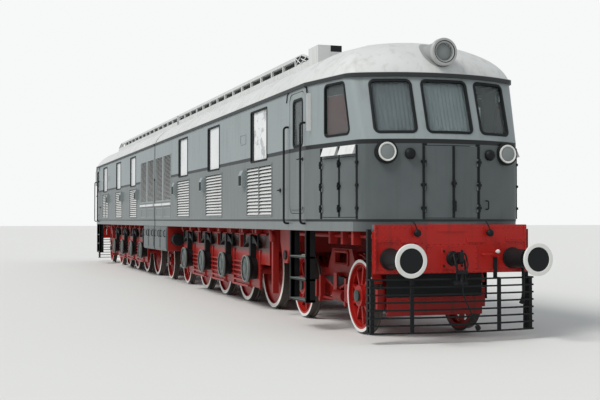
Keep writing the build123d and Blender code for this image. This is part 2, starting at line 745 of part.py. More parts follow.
# Lamps: two headlamps on the nose, and small lamps on the beam's top
lamp_half = 870.0
horn_half_y = 575.0
beam_lamp_half = 520.0
lamp_z = belt_high - 170
lamp_front = nose_x - 100
headlamp = [(-180, 0), (-180, 120), (-90, 150), (-30, 155), (-30, 140), (0, 128), (0, 86),
            (-25, 80), (-25, 0)]
horn = [(-190, 0), (-190, 50), (-60, 50), (-50, 72), (-20, 70), (0, 45), (10, 0)]
beam_lamp = [(0, 0), (0, 26), (50, 30), (60, 46), (95, 42), (110, 0)]
with BuildPart() as lamps:
    for side in (-1, 1):
        turned_x(lamp_front, side * lamp_half, lamp_z, headlamp)
        turned_x(nose_x - 10, side * horn_half_y, lamp_z - 25, horn)
        turned_x(beam_face, side * beam_lamp_half, beam_high - 110, beam_lamp)
    add(shell_form(0, side_end, floor_top, gutter_low), mode=Mode.SUBTRACT)
save_both(lamps.part, "lamps")

# Drive gear outside the plate frame: round bearing covers with a rim and a cap, leaf springs
# above them and the battery boxes behind the carrying axle
drum_radius = 305.0
drum_deep = 200.0
drum_rim = 28.0
drum_sink = 18.0
drum_cap = 95.0
drum_bore = journal_radius + 40
spring_z = 1060.0
spring_wide = 90.0
spring_leaves = 7
spring_leaf = 24.0
spring_long = 920.0
spring_short = 260.0
box_rear = 1650.0
box_inner = 1000.0
box_outer = 1440.0
box_low = 800.0
cylinder_radius = 140.0
cylinder_long = 350.0
cylinder_z = box_low + 280
with BuildPart() as drive_gear:
    plate_y = frame_half + frame_plate
    rim_start = drum_deep - 50
    drum = [(0, drum_bore), (0, drum_radius - 40), (rim_start - 20, drum_radius - 20),
            (rim_start, drum_radius), (drum_deep, drum_radius),
            (drum_deep, drum_radius - drum_rim), (drum_deep - drum_sink, drum_radius - drum_rim),
            (drum_deep - drum_sink, drum_cap), (drum_deep - 6, drum_cap - 15),
            (drum_deep - 6, 0), (drum_deep - 60, 0), (drum_deep - 60, drum_bore)]
    for side in (-1, 1):
        for x in driving_axles:
            turned_y(x, side * plate_y, driving_radius, side, drum)
            y = side * (plate_y + spring_wide / 2)
            for number in range(spring_leaves):
                long = spring_long - (spring_long - spring_short) * number / (spring_leaves - 1)
                with Locations((x, y, up(spring_z + (number + 0.5) * spring_leaf))):
                    Box(long, spring_wide, spring_leaf)
            buckle = sorted((side * plate_y, side * (plate_y + spring_wide + 15)))
            top = spring_z + spring_leaves * spring_leaf
            block((x - 45, x + 45), buckle, (driving_radius + drum_radius - 60, top + 20))
        box_y = sorted((side * box_inner, side * box_outer))
        block((half_gap, box_rear), box_y, (box_low, skirt_low))
        rod_x((box_rear, box_rear + cylinder_long), side * (box_inner + box_outer) / 2,
              cylinder_z, cylinder_radius)
save_both(drive_gear.part, "drive_gear")

# Leading bogie: inside plate frame with its window, bolster with the centre plate, leaf springs
# on the axle boxes and brake gear
bogie_plate = (560.0, 620.0)
plate_low = 380.0
plate_high = 800.0
plate_crown = 1120.0
plate_end = 300.0
crown_half = 420.0
crown_fall = 200.0
window_half_long = 260.0
window_z = (900.0, 1060.0)
bolster_half = 250.0
bolster_z = (600.0, 860.0)
cross_z = (500.0, 760.0)
cross_thick = 40.0
pivot_plate = 220.0
axle_reach = 700.0
bogie_spring_z = 640.0
bogie_spring = (1100.0, 190.0, 5)
bogie_leaf = 26.0
spring_deep = 80.0
hanger_reach = 560.0
hanger_half = 35.0
hanger_y = (700.0, 780.0)
hanger_z = (300.0, 700.0)
hanger_bar_z = 330.0
hanger_foot = 60.0
brake_x = (60.0, 430.0)
brake_y = 720.0
brake_z = 430.0
brake_radius = 85.0
with BuildPart() as bogie:
    rear, front = bogie_axles[1] - plate_end, bogie_axles[0] + plate_end
    shoulders = (bogie_pivot - crown_half - crown_fall, bogie_pivot + crown_half + crown_fall)
    for y in both(bogie_plate):
        with BuildSketch(Plane(origin=(0, y[1], 0), x_dir=(1, 0, 0), z_dir=(0, -1, 0)),
                         mode=Mode.PRIVATE) as plate:
            Polygon((rear, up(plate_low)), (front, up(plate_low)), (front, up(plate_high)),
                    (shoulders[1], up(plate_high)), (bogie_pivot + crown_half, up(plate_crown)),
                    (bogie_pivot - crown_half, up(plate_crown)), (shoulders[0], up(plate_high)),
                    (rear, up(plate_high)), align=None)
            with Locations((bogie_pivot, up((window_z[0] + window_z[1]) / 2))):
                Rectangle(2 * window_half_long, window_z[1] - window_z[0], mode=Mode.SUBTRACT)
        extrude(plate.sketch, y[1] - y[0])
    between = (-bogie_plate[0], bogie_plate[0])
    for x in (rear + cross_thick / 2, front - 1.5 * cross_thick):
        block((x, x + cross_thick), between, cross_z)
    block((bogie_pivot - bolster_half, bogie_pivot + bolster_half), between, bolster_z)
    rod_z(bogie_pivot, 0, (bolster_z[1], centre_plate_z - seat_gap), pivot_plate)
    rod_z(bogie_pivot, 0, (bolster_z[0], centre_plate_z + 10), centre_pin + bearing_gap,
          mode=Mode.SUBTRACT)
    for x in bogie_axles:
        rod_y(x, (-axle_reach, axle_reach), carrying_radius, axle_radius + bearing_gap,
              mode=Mode.SUBTRACT)
    for side in (-1, 1):
        outer = side * bogie_plate[1]
        spring_y = outer + side * spring_deep / 2
        for number in range(bogie_spring[2]):
            long = bogie_spring[0] - bogie_spring[1] * number
            with Locations((bogie_pivot, spring_y, up(bogie_spring_z - bogie_leaf * number))):
                Box(long, spring_deep, bogie_leaf)
        for x in (bogie_pivot - hanger_reach, bogie_pivot + hanger_reach):
            hanger = (x - hanger_half, x + hanger_half)
            rod_y(x, sorted((outer - side * hanger_foot, side * (hanger_y[1] + 10))),
                  hanger_bar_z, hanger_half)
            block(hanger, sorted((side * hanger_y[0], side * hanger_y[1])), hanger_z)
            block(hanger, sorted((outer, side * hanger_y[1])),
                  (hanger_z[1] - hanger_foot, hanger_z[1]))
        rod_x((bogie_pivot + brake_x[0], bogie_pivot + brake_x[1]), side * brake_y, brake_z,
              brake_radius)
        block((bogie_pivot + 2 * brake_x[0], bogie_pivot + 2 * brake_x[0] + spring_deep),
              sorted((outer, side * brake_y)), (brake_z - hanger_half, brake_z + hanger_half))
save_both(bogie.part, "bogie_frame")

# Single-axle truck at the middle, steered from a pivot behind the driving axles
pony_half = 320.0
pony_plate_z = (380.0, 760.0)
arm_z = 640.0
arm_thick = 80.0
arm_start = 220.0
pony_pivot_plate = 180.0
with BuildPart() as pony:
    for y in both(bogie_plate):
        block((bissel_axle - pony_half, bissel_axle + pony_half), y, pony_plate_z)
    block((bissel_axle - pony_half, bissel_axle - pony_half + cross_thick), between,
          (pony_plate_z[0] + 100, pony_plate_z[1] - 40))
    with BuildSketch(Plane.XY.offset(up(arm_z))) as arm:
        Polygon((bissel_axle + arm_start, -bogie_plate[1]),
                (bissel_axle + arm_start, bogie_plate[1]),
                (bissel_pivot, pony_pivot_plate), (bissel_pivot, -pony_pivot_plate), align=None)
    extrude(arm.sketch, arm_thick)
    rod_z(bissel_pivot, 0, (arm_z, centre_plate_z - seat_gap), pony_pivot_plate)
    rod_z(bissel_pivot, 0, (arm_z - 40, centre_plate_z + 10), centre_pin + bearing_gap,
          mode=Mode.SUBTRACT)
    rod_y(bissel_axle, (-axle_reach, axle_reach), carrying_radius, axle_radius + bearing_gap,
          mode=Mode.SUBTRACT)
save_both(pony.part, "pony_frame")

# Cab doors, hinged at their rear edge and opening inwards; their corners are rounder than the
# doorway's, so that they swing clear of it
with BuildPart() as cab_door:
    span = (cab_door_span[0] + door_gap, cab_door_span[1] - door_gap)
    sheet = (-body_half + door_sink, -body_half + door_sink + door_sheet)
    opening(span, sheet, (cab_door_low + door_gap, cab_door_high - door_gap),
            door_leaf_corner, mode=Mode.ADD)
    opening(door_window[0], sheet, door_window[1], pane_corner)
    opening(door_window[0], (sheet[0] + 14, sheet[0] + 14 + glass_sheet), door_window[1],
            pane_corner, mode=Mode.ADD)
    knuckles(cab_door_hinge[0], -cab_door_hinge[1], cab_door_knuckles, True)
save_both(cab_door.part, "cab_door_right")
save_both(mirror(cab_door.part, about=Plane.XZ), "cab_door_left")

# Nose doors: two bowed leaves, hinged at their outer edges
with BuildPart() as nose_doors:
    add(shell_form(0, side_end, floor_top, gutter_low))
    add(shell_form(leaf_sheet, side_end - 50, floor_top, gutter_low), mode=Mode.SUBTRACT)
for side, name in ((-1, "right"), (1, "left")):
    with BuildPart() as leaf:
        add(nose_doors.part)
        with BuildPart(mode=Mode.INTERSECT):
            reach = sorted((side * door_gap / 2, side * (nose_door_half - door_gap)))
            block((corner_x - 250, nose_x + 50), reach,
                  (nose_door_low + door_gap, nose_door_high - door_gap))
        knuckles(bow_x(nose_hinge_y), side * nose_hinge_y, leaf_knuckles, True)
    save_both(leaf.part, "nose_door_" + name)

# Cabinet leaves below the cab's side windows, two on each side
for side, name in ((-1, "right"), (1, "left")):
    middle = (cabinet_span[0] + cabinet_span[1]) / 2
    spans = ((cabinet_span[0] + door_gap, middle - door_gap / 2),
             (middle + door_gap / 2, cabinet_span[1] - door_gap))
    for number, span in enumerate(spans, 1):
        with BuildPart() as leaf:
            add(nose_doors.part)
            with BuildPart(mode=Mode.INTERSECT):
                block(span, sorted((side * 1000, side * 1500)),
                      (cabinet_low + door_gap, cabinet_high - door_gap))
            hinge_x = cabinet_hinges[number - 1]
            knuckles(hinge_x, side * taper_y(hinge_x), leaf_knuckles, True)
        save_both(leaf.part, "cabinet_" + name + "_" + str(number))
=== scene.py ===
# %% [markdown]
# # A twin-unit diesel locomotive, dressed for the camera
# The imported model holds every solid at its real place. This lesson loads it as a fixed
# frame and adds what a paint shop and a fitter would: paint, glass, rivets, rims and rods.

# %% Load the frame
import math
import bmesh
import bpy
from mathutils import Matrix, Vector


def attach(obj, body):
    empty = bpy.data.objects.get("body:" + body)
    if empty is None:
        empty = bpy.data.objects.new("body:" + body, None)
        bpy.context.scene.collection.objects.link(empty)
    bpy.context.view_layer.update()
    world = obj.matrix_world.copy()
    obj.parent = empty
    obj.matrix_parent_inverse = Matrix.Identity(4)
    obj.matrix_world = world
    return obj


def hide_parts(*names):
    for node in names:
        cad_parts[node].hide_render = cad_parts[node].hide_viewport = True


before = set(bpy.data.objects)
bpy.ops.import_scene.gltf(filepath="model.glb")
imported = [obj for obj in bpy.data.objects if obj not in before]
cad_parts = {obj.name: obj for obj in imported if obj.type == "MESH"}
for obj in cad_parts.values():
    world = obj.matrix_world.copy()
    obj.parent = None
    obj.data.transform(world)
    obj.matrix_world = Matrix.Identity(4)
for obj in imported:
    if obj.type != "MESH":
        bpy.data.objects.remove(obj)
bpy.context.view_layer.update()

# %% [markdown]
# ## The camera
# The photograph was taken from near the track, a little to one side, at a standing
# person's eye height. Its focal length and place were worked out from the spacing of the
# buffers and the axles, so the camera is set from real metres and one long lens. RAIL is the
# height of the rails' tops: the flanges of the wheels reach that far below them, to the floor.

# %% Camera
RAIL = 0.028
CAMERA_PLACE = Vector((26.06, -6.01, 1.55 + RAIL))
CAMERA_YAW = math.radians(17.98)
CAMERA_PITCH = math.radians(1.11)
FOCAL_PIXELS = 1027.8
PHOTO_WIDTH = 600
SENSOR_WIDTH = 36.0

camera_data = bpy.data.cameras.new("camera")
camera_data.sensor_width = SENSOR_WIDTH
camera_data.lens = SENSOR_WIDTH * FOCAL_PIXELS / PHOTO_WIDTH
camera_data.clip_end = 1000.0
camera = bpy.data.objects.new("camera", camera_data)
bpy.context.scene.collection.objects.link(camera)
level = math.cos(CAMERA_PITCH)
look = Vector((-math.cos(CAMERA_YAW) * level, math.sin(CAMERA_YAW) * level, math.sin(CAMERA_PITCH)))
camera.location = CAMERA_PLACE
camera.rotation_euler = look.to_track_quat("-Z", "Y").to_euler()
bpy.context.scene.camera = camera
print("lens", round(camera_data.lens, 2), "mm")

# %% [markdown]
# ## Floor
# A studio floor stands in for the ground: one pale, dull sheet, wide enough to reach the
# horizon in every view. It only has to catch the shadow, so four corners do.

# %% Floor
def stage_material(name, colour):
    """A dull, pale surface for the floor."""
    material = bpy.data.materials.new(name)
    material.use_nodes = True
    shader = material.node_tree.nodes["Principled BSDF"]
    shader.inputs["Base Color"].default_value = (*colour, 1)
    shader.inputs["Roughness"].default_value = 0.9
    return material


FLOOR_HALF = 250.0
floor_mesh = bpy.data.meshes.new("floor")
corners = [(-FLOOR_HALF, -FLOOR_HALF, 0), (FLOOR_HALF, -FLOOR_HALF, 0),
           (FLOOR_HALF, FLOOR_HALF, 0), (-FLOOR_HALF, FLOOR_HALF, 0)]
floor_mesh.from_pydata(corners, [], [(0, 1, 2, 3)])
floor = bpy.data.objects.new("floor", floor_mesh)
bpy.context.scene.collection.objects.link(floor)
floor.data.materials.append(stage_material("floor_pale", (0.72, 0.72, 0.70)))
print("floor", 2 * FLOOR_HALF, "m wide")

# %% [markdown]
# ## World and sun
# A world of even, slightly cool light and one wide, soft sun light a painted panel at about
# the strength that its colour is written, which keeps the paints honest under other light.
# Is Camera Ray lets the camera see a plain pale backdrop instead of that sky.

# %% World and sun
world = bpy.data.worlds.new("studio")
bpy.context.scene.world = world
world.use_nodes = True
world_nodes, world_links = world.node_tree.nodes, world.node_tree.links
sky = world_nodes["Background"]
sky.inputs["Color"].default_value = (0.92, 0.96, 1.0, 1)
sky.inputs["Strength"].default_value = 0.58
backdrop = world_nodes.new("ShaderNodeBackground")
backdrop.inputs["Color"].default_value = (0.93, 0.94, 0.94, 1)
backdrop.inputs["Strength"].default_value = 1.0
ray = world_nodes.new("ShaderNodeLightPath")
choose = world_nodes.new("ShaderNodeMixShader")
world_links.new(ray.outputs["Is Camera Ray"], choose.inputs[0])
world_links.new(sky.outputs[0], choose.inputs[1])
world_links.new(backdrop.outputs[0], choose.inputs[2])
world_links.new(choose.outputs[0], world_nodes["World Output"].inputs["Surface"])

sun_data = bpy.data.lights.new("sun", "SUN")
sun_data.energy = 2.2
sun_data.angle = math.radians(25)
sun_data.color = (1.0, 0.98, 0.95)
sun = bpy.data.objects.new("sun", sun_data)
sun.rotation_euler = (math.radians(42), 0, math.radians(14))
bpy.context.scene.collection.objects.link(sun)
bpy.context.scene.view_settings.view_transform = "Standard"
print("sun", round(sun_data.energy, 2), "sky", round(sky.inputs["Strength"].default_value, 2))

# %% [markdown]
# ## Paint that knows its height
# The body is one grey over another with dark lines between, so the paint reads the height
# of each point in Object coordinates and picks its band. Nodes are made by a few small
# functions, so that a paint reads like a recipe.

# %% Node helpers
def new_material(name, roughness=0.5, metallic=0.0, gloss=0.3):
    """A material with its node tree, its shader and its Object coordinates."""
    material = bpy.data.materials.new(name)
    material.use_nodes = True
    tree = material.node_tree
    shader = tree.nodes["Principled BSDF"]
    shader.inputs["Roughness"].default_value = roughness
    shader.inputs["Metallic"].default_value = metallic
    shader.inputs["Specular IOR Level"].default_value = gloss
    place = tree.nodes.new("ShaderNodeTexCoord")
    return material, tree, shader, place.outputs["Object"]


def math_node(tree, operation, first, second=0.5, clamp=False):
    """One Math node; each input is a socket or a number."""
    node = tree.nodes.new("ShaderNodeMath")
    node.operation = operation
    node.use_clamp = clamp
    for index, value in enumerate((first, second)):
        if isinstance(value, (int, float)):
            node.inputs[index].default_value = value
        else:
            tree.links.new(value, node.inputs[index])
    return node.outputs[0]


def noise(tree, place, scale, detail=4.0, stretch=(1, 1, 1), rough=0.55):
    """Noise over Object coordinates, stretched along its axes."""
    mapping = tree.nodes.new("ShaderNodeMapping")
    mapping.inputs["Scale"].default_value = stretch
    tree.links.new(place, mapping.inputs["Vector"])
    node = tree.nodes.new("ShaderNodeTexNoise")
    node.inputs["Scale"].default_value = scale
    node.inputs["Detail"].default_value = detail
    node.inputs["Roughness"].default_value = rough
    tree.links.new(mapping.outputs[0], node.inputs["Vector"])
    return node.outputs["Fac"]


def mix(tree, factor, first, second):
    """Mixes two colours; each is a socket or a colour."""
    node = tree.nodes.new("ShaderNodeMix")
    node.data_type = "RGBA"
    sockets = (("Factor", factor), ("A", first), ("B", second))
    for name, value in sockets:
        socket = [s for s in node.inputs if s.name == name and s.enabled][0]
        if isinstance(value, (int, float)):
            socket.default_value = value
        elif isinstance(value, tuple):
            socket.default_value = (*value, 1)
        else:
            tree.links.new(value, socket)
    return [s for s in node.outputs if s.enabled][0]


# %% [markdown]
# ## Masks
# A mask is 0 or 1 at each point. Steps at a height or at a distance make bands and discs with
# a sharp edge, and products of masks make what lies in both.

# %% Masks
def axes(tree, place):
    """X, Y and Z of the Object coordinates."""
    node = tree.nodes.new("ShaderNodeSeparateXYZ")
    tree.links.new(place, node.inputs[0])
    return node.outputs


def step(tree, value, edge, width=0.004):
    """0 below an edge and 1 above it, blended over a few millimetres."""
    shifted = math_node(tree, "SUBTRACT", value, edge - width / 2)
    return math_node(tree, "DIVIDE", shifted, width, clamp=True)


def both_of(tree, first, second):
    """1 where both masks are 1."""
    return math_node(tree, "MULTIPLY", first, second)


def below(tree, value, edge):
    """1 below an edge and 0 above it."""
    return math_node(tree, "SUBTRACT", 1.0, step(tree, value, edge))


# %% [markdown]
# ## Wear
# Years outdoors leave wide patches where paint has gone pale, and streaks of dirt drawn out
# downwards. Both are noise in Object coordinates, so no two places look the same.

# %% Bump and weather
def bump(tree, shader, height, strength=0.1, distance=0.01):
    """Bump from a height socket."""
    node = tree.nodes.new("ShaderNodeBump")
    node.inputs["Strength"].default_value = strength
    node.inputs["Distance"].default_value = distance
    tree.links.new(height, node.inputs["Height"])
    tree.links.new(node.outputs["Normal"], shader.inputs["Normal"])


def weather(tree, place, colour, pale, dirt, amount):
    """Fades and dirties a colour: wide pale patches and upright streaks of dirt."""
    patches = math_node(tree, "SUBTRACT", noise(tree, place, 0.8, 5), 0.42, clamp=True)
    faded = mix(tree, math_node(tree, "MULTIPLY", patches, 0.8, clamp=True), colour, pale)
    streaks = noise(tree, place, 2.4, 6, (4.0, 4.0, 0.3))
    grime = math_node(tree, "SUBTRACT", streaks, 0.52, clamp=True)
    return mix(tree, math_node(tree, "MULTIPLY", grime, amount, clamp=True), faded, dirt)


# %% [markdown]
# ## The body greys
# Bands from the bottom up: the skirt, a dark line, the lower grey, the dark belt and the
# paler upper grey. The skirt starts at the deck's edge, so the red underframe reads the same
# heights and turns grey above its lower edge.

# %% Heights and colours
SKIRT_LOW = 1.40 + RAIL
SKIRT_TOP = 1.53 + RAIL
BELT_LOW = 2.54 + RAIL
BELT_HIGH = 2.60 + RAIL
BEAM = 13.95
GUTTER_HIGH = 3.50 + RAIL
LANTERN_SILL = 4.085 + RAIL
LANTERN_LINTEL = 4.185 + RAIL
DARK_LINE = (0.015, 0.017, 0.018)
LOWER_GREY = (0.090, 0.105, 0.107)
SIDE_LOWER_GREY = (0.160, 0.180, 0.180)
UPPER_GREY = (0.270, 0.306, 0.310)
SKIRT_GREY = (0.170, 0.190, 0.190)
RED = (0.43, 0.012, 0.008)
FRAME_RED = (0.27, 0.010, 0.007)
FADED_RED = (0.36, 0.028, 0.020)
BLACK = (0.009, 0.011, 0.012)
WHITE = (0.74, 0.74, 0.71)
GRIME = (0.030, 0.024, 0.018)


def heights(low, high):
    """A pair of heights above the rails, as the frame counts them."""
    return low + RAIL, high + RAIL


print("belt", round(BELT_LOW, 3), "to", round(BELT_HIGH, 3), "lantern sill", round(LANTERN_SILL, 3))

# %% [markdown]
# ## Wall paint
# One paint serves walls, doors and cab. It takes the distance from the middle without its
# sign, so both halves are alike, and the lower grey pales from the nose towards the long side.

# %% Wall paint
SIDE_BLEND_START = 13.5
SIDE_BLEND_LENGTH = 1.6
SATIN = 0.38
LOWER_PALE, UPPER_PALE = (0.20, 0.22, 0.22), (0.34, 0.375, 0.38)
LOWER_DIRT, UPPER_DIRT = (0.065, 0.068, 0.066), (0.15, 0.16, 0.16)


def body_paint():
    """Banded satin paint of the walls, doors and cab."""
    material, tree, shader, place = new_material("body_paint", SATIN)
    x, _, z = axes(tree, place)
    along = math_node(tree, "SUBTRACT", SIDE_BLEND_START, math_node(tree, "ABSOLUTE", x))
    side = math_node(tree, "DIVIDE", along, SIDE_BLEND_LENGTH, clamp=True)
    # The lower grey is darker on the nose and paler along the long side.
    lower = mix(tree, side, LOWER_GREY, SIDE_LOWER_GREY)
    colour = mix(tree, step(tree, z, SKIRT_TOP), SKIRT_GREY, lower)
    colour = mix(tree, step(tree, z, BELT_HIGH), colour, UPPER_GREY)
    pale = mix(tree, step(tree, z, BELT_LOW), LOWER_PALE, UPPER_PALE)
    dirt = mix(tree, step(tree, z, BELT_LOW), LOWER_DIRT, UPPER_DIRT)
    colour = weather(tree, place, colour, pale, dirt, 1.6)
    for low, high in ((SKIRT_TOP - 0.004, SKIRT_TOP + 0.030), (BELT_LOW, BELT_HIGH)):
        band = both_of(tree, step(tree, z, low), below(tree, z, high))
        colour = mix(tree, band, colour, DARK_LINE)
    tree.links.new(colour, shader.inputs["Base Color"])
    bump(tree, shader, noise(tree, place, 1.3, 2), 0.35, 0.03)
    return material


# %% [markdown]
# ## Roof paint
# The roof is one sheet with three finishes: a dark gutter band, a pale silver arch and, inside
# a circle round the roof lamp, the grey of its housing, which on the roof round the lamp is
# painted shade. The openings of the lantern are painted nearly black, as painted shade inside them.

# %% Roof paint
ROOF_LAMP_Z = 3.78 + RAIL
ROOF_LAMP_REACH = 0.20
ROOF_LAMP_BACK = 12.9
LANTERN_INSIDE = 0.80
SILVER_DULL, SILVER_BRIGHT, SILVER_WORN = (0.50, 0.51, 0.50), (0.72, 0.73, 0.72), (0.62, 0.63, 0.62)
SOOT, LAMP_GREY_AND_SHADE = (0.20, 0.16, 0.13), (0.30, 0.31, 0.305)
OPENING_SHADE, GUTTER_DARK = (0.008, 0.009, 0.010), (0.028, 0.031, 0.033)


def roof_paint():
    """Silver roof with a dark gutter band, a grey lamp housing with painted shade round it and
    painted shade in the lantern openings.
    """
    material, tree, shader, place = new_material("roof_paint", 0.45)
    x, y, z = axes(tree, place)
    silver = mix(tree, noise(tree, place, 1.5, 6, (1, 1, 0.4)), SILVER_DULL, SILVER_BRIGHT)
    # Nearly black in the lantern's openings: painted shade inside them.
    hole_shade = both_of(tree, step(tree, z, LANTERN_SILL + 0.004), below(tree, z, LANTERN_LINTEL))
    hole_shade = both_of(tree, hole_shade, below(tree, math_node(tree, "ABSOLUTE", y), LANTERN_INSIDE))
    surface_colour = weather(tree, place, silver, SILVER_WORN, SOOT, 1.2)
    above = math_node(tree, "SUBTRACT", z, ROOF_LAMP_Z)
    apart = math_node(tree, "ADD", math_node(tree, "MULTIPLY", y, y),
                      math_node(tree, "MULTIPLY", above, above))
    # The lamp housing's grey, which on the roof round the lamp is painted shade.
    housing_and_shade = both_of(tree, below(tree, apart, ROOF_LAMP_REACH ** 2),
                      step(tree, math_node(tree, "ABSOLUTE", x), ROOF_LAMP_BACK))
    surface_colour = mix(tree, housing_and_shade, surface_colour, LAMP_GREY_AND_SHADE)
    surface_colour = mix(tree, hole_shade, surface_colour, OPENING_SHADE)
    surface_colour = mix(tree, step(tree, z, GUTTER_HIGH - 0.006), GUTTER_DARK, surface_colour)
    tree.links.new(surface_colour, shader.inputs["Base Color"])
    bump(tree, shader, noise(tree, place, 1.2, 2), 0.35, 0.03)
    return material


# %% [markdown]
# ## Plain paints
# Most fittings wear one colour. A single function makes them all, and only the colour, its
# faded and dirty shades and the gloss change from one to the next.

# %% Plain paints
def plain_paint(name, colour, pale, dirt, amount, roughness=0.45, metallic=0.0, gloss=0.3):
    """One painted colour with wear and a faint unevenness."""
    material, tree, shader, place = new_material(name, roughness, metallic, gloss)
    surface_colour = weather(tree, place, colour, pale, dirt, amount)
    tree.links.new(surface_colour, shader.inputs["Base Color"])
    bump(tree, shader, noise(tree, place, 14.0, 3), 0.15, 0.004)
    return material


# %% [markdown]
# ## Underframe paint
# Deck, beam and frame plates are one solid in several colours: grey along the deck's edge and
# above the beam, bright red on the beam, dull red behind it. Towards the nose the grey is darker,
# as painted shade. The real frame plates are open behind the springs, and a strip of painted
# shade along them stands for that depth.

# %% Underframe paint
BEAM_BACK = BEAM - 0.01
BEAM_TOP = 1.494 + RAIL
NOSE_SHADE_START = 13.45
BRIGHT_RED = 13.80
FRAME_SHADE_Z = heights(0.99, 1.33)
FRAME_SHADE_Y = 1.13
FRAMES_END = 9.4
SKIRT_NOSE_SHADE, PALE_SKIRT, FRAME_SHADE_RED = (0.075, 0.085, 0.086), (0.2, 0.22, 0.23), (0.045, 0.016, 0.013)


def deck_paint():
    """Red of the underframe, grey along the deck's edge, with painted shade at the nose and along
    the frames.
    """
    material, tree, shader, place = new_material("underframe_paint", 0.35)
    x, y, z = axes(tree, place)
    along = math_node(tree, "ABSOLUTE", x)
    edge = both_of(tree, step(tree, z, SKIRT_LOW + 0.001), below(tree, along, BEAM_BACK))
    front = both_of(tree, step(tree, along, BEAM_BACK), step(tree, z, BEAM_TOP))
    grey = math_node(tree, "MAXIMUM", edge, front)
    # Towards the nose the skirt's grey is darker: painted shade.
    skirt = mix(tree, step(tree, along, NOSE_SHADE_START), SKIRT_GREY, SKIRT_NOSE_SHADE)
    red = mix(tree, step(tree, along, BRIGHT_RED), FRAME_RED, RED)
    colour = mix(tree, grey, red, skirt)
    surface_colour = weather(tree, place, colour, FADED_RED, GRIME, 1.8)
    # A dark red strip along the frame plates is painted shade, for the depth behind the springs.
    frame_shade = both_of(tree, step(tree, z, FRAME_SHADE_Z[0], 0.08), below(tree, z, FRAME_SHADE_Z[1]))
    frame_shade = both_of(tree, frame_shade, step(tree, math_node(tree, "ABSOLUTE", y), FRAME_SHADE_Y))
    surface_colour = mix(tree, both_of(tree, frame_shade, below(tree, along, FRAMES_END)), surface_colour, FRAME_SHADE_RED)
    colour = mix(tree, grey, surface_colour, weather(tree, place, colour, PALE_SKIRT, GRIME, 0.8))
    tree.links.new(colour, shader.inputs["Base Color"])
    bump(tree, shader, noise(tree, place, 9.0, 4), 0.2, 0.006)
    return material


# %% [markdown]
# ## Wheels: white tyres, red spokes
# A wheel's colours go by the distance from its axle, and the same paint has to work on both
# halves, so it measures from the nearest axle with the distance along the track made positive.

# %% Wheel paint
SMALL_WHEEL, DRIVING_WHEEL = 0.5, 0.675
SMALL_TYRE, DRIVING_TYRE = 0.042, 0.07
TYRE_FACE = 0.812
HUB_FACE, HUB_PLATE = 0.845, 0.072
WHEEL_RED, TREAD, HUB_GREEN = (0.34, 0.011, 0.008), (0.050, 0.040, 0.034), (0.02, 0.05, 0.035)


def wheel_paint(name, axle, radius):
    """Red wheel with a white tyre face, a dark tread and a green hub plate."""
    material, tree, shader, place = new_material(name, 0.4)
    x, y, z = axes(tree, place)
    along = math_node(tree, "SUBTRACT", math_node(tree, "ABSOLUTE", x), axle)
    high = math_node(tree, "SUBTRACT", z, radius + RAIL)
    far = math_node(tree, "SQRT", math_node(tree, "ADD",
                    math_node(tree, "POWER", along, 2.0), math_node(tree, "POWER", high, 2.0)))
    across = math_node(tree, "ABSOLUTE", y)
    red = weather(tree, place, WHEEL_RED, FADED_RED, GRIME, 2.4)
    tyre = SMALL_TYRE if radius == SMALL_WHEEL else DRIVING_TYRE
    face = both_of(tree, step(tree, far, radius - tyre + 0.002), step(tree, across, TYRE_FACE))
    colour = mix(tree, face, red, WHITE)
    tread = both_of(tree, step(tree, far, radius - 0.006), below(tree, across, TYRE_FACE))
    colour = mix(tree, tread, colour, TREAD)
    hub = both_of(tree, below(tree, far, HUB_PLATE), step(tree, across, HUB_FACE))
    colour = mix(tree, hub, colour, HUB_GREEN)
    tree.links.new(colour, shader.inputs["Base Color"])
    bump(tree, shader, noise(tree, place, 20.0, 4), 0.2, 0.003)
    return material


# %% [markdown]
# ## Glass
# Clear panes let the curtains show through a faint reflection. The engine room's windows only
# mirror the sky, so theirs is a painted reflection of a pale sky, and noise draws the painted
# reflection of bare branches in the leading one.

# %% Glass
def pane_glass(name, tint, clear, roughness=0.03):
    """Glass with a tint; clear is the share of light that passes."""
    material, tree, shader, place = new_material(name, roughness)
    wave = noise(tree, place, 2.0, 2)
    tree.links.new(mix(tree, wave, tint, tuple(0.8 * c for c in tint)),
                   shader.inputs["Base Color"])
    shader.inputs["Transmission Weight"].default_value = clear
    shader.inputs["IOR"].default_value = 1.22
    bump(tree, shader, wave, 0.04, 0.01)
    return material


LEADING_ROOM = 9.0


def painted_sky_reflection():
    """Engine room panes painted with the reflection of a white sky, and of bare branches in the
    leading one.
    """
    material, tree, shader, place = new_material("engine_room_pane_reflection", 0.12)
    along = math_node(tree, "ABSOLUTE", axes(tree, place)[0])
    branch_reflection = noise(tree, place, 4.0, 8, (1, 1, 1), 0.7)
    branch_reflection = both_of(tree, step(tree, branch_reflection, 0.53, 0.05), step(tree, along, LEADING_ROOM))
    # Painted reflection: a pale sky, and dark branches in the leading window.
    colour = mix(tree, noise(tree, place, 1.6, 2), (0.66, 0.68, 0.68), (0.84, 0.85, 0.85))
    colour = mix(tree, math_node(tree, "MULTIPLY", branch_reflection, 0.55), colour, (0.16, 0.19, 0.18))
    tree.links.new(colour, shader.inputs["Base Color"])
    return material


# %% [markdown]
# ## Cloth and leather
# Curtain cloth is dull, with soft uneven shades and a grain of threads, which a bump from very
# fine noise gives. Loose fibres add a little sheen, and only the blind has none, so that its red
# stays deep. Leather is made alike, with a coarser grain.

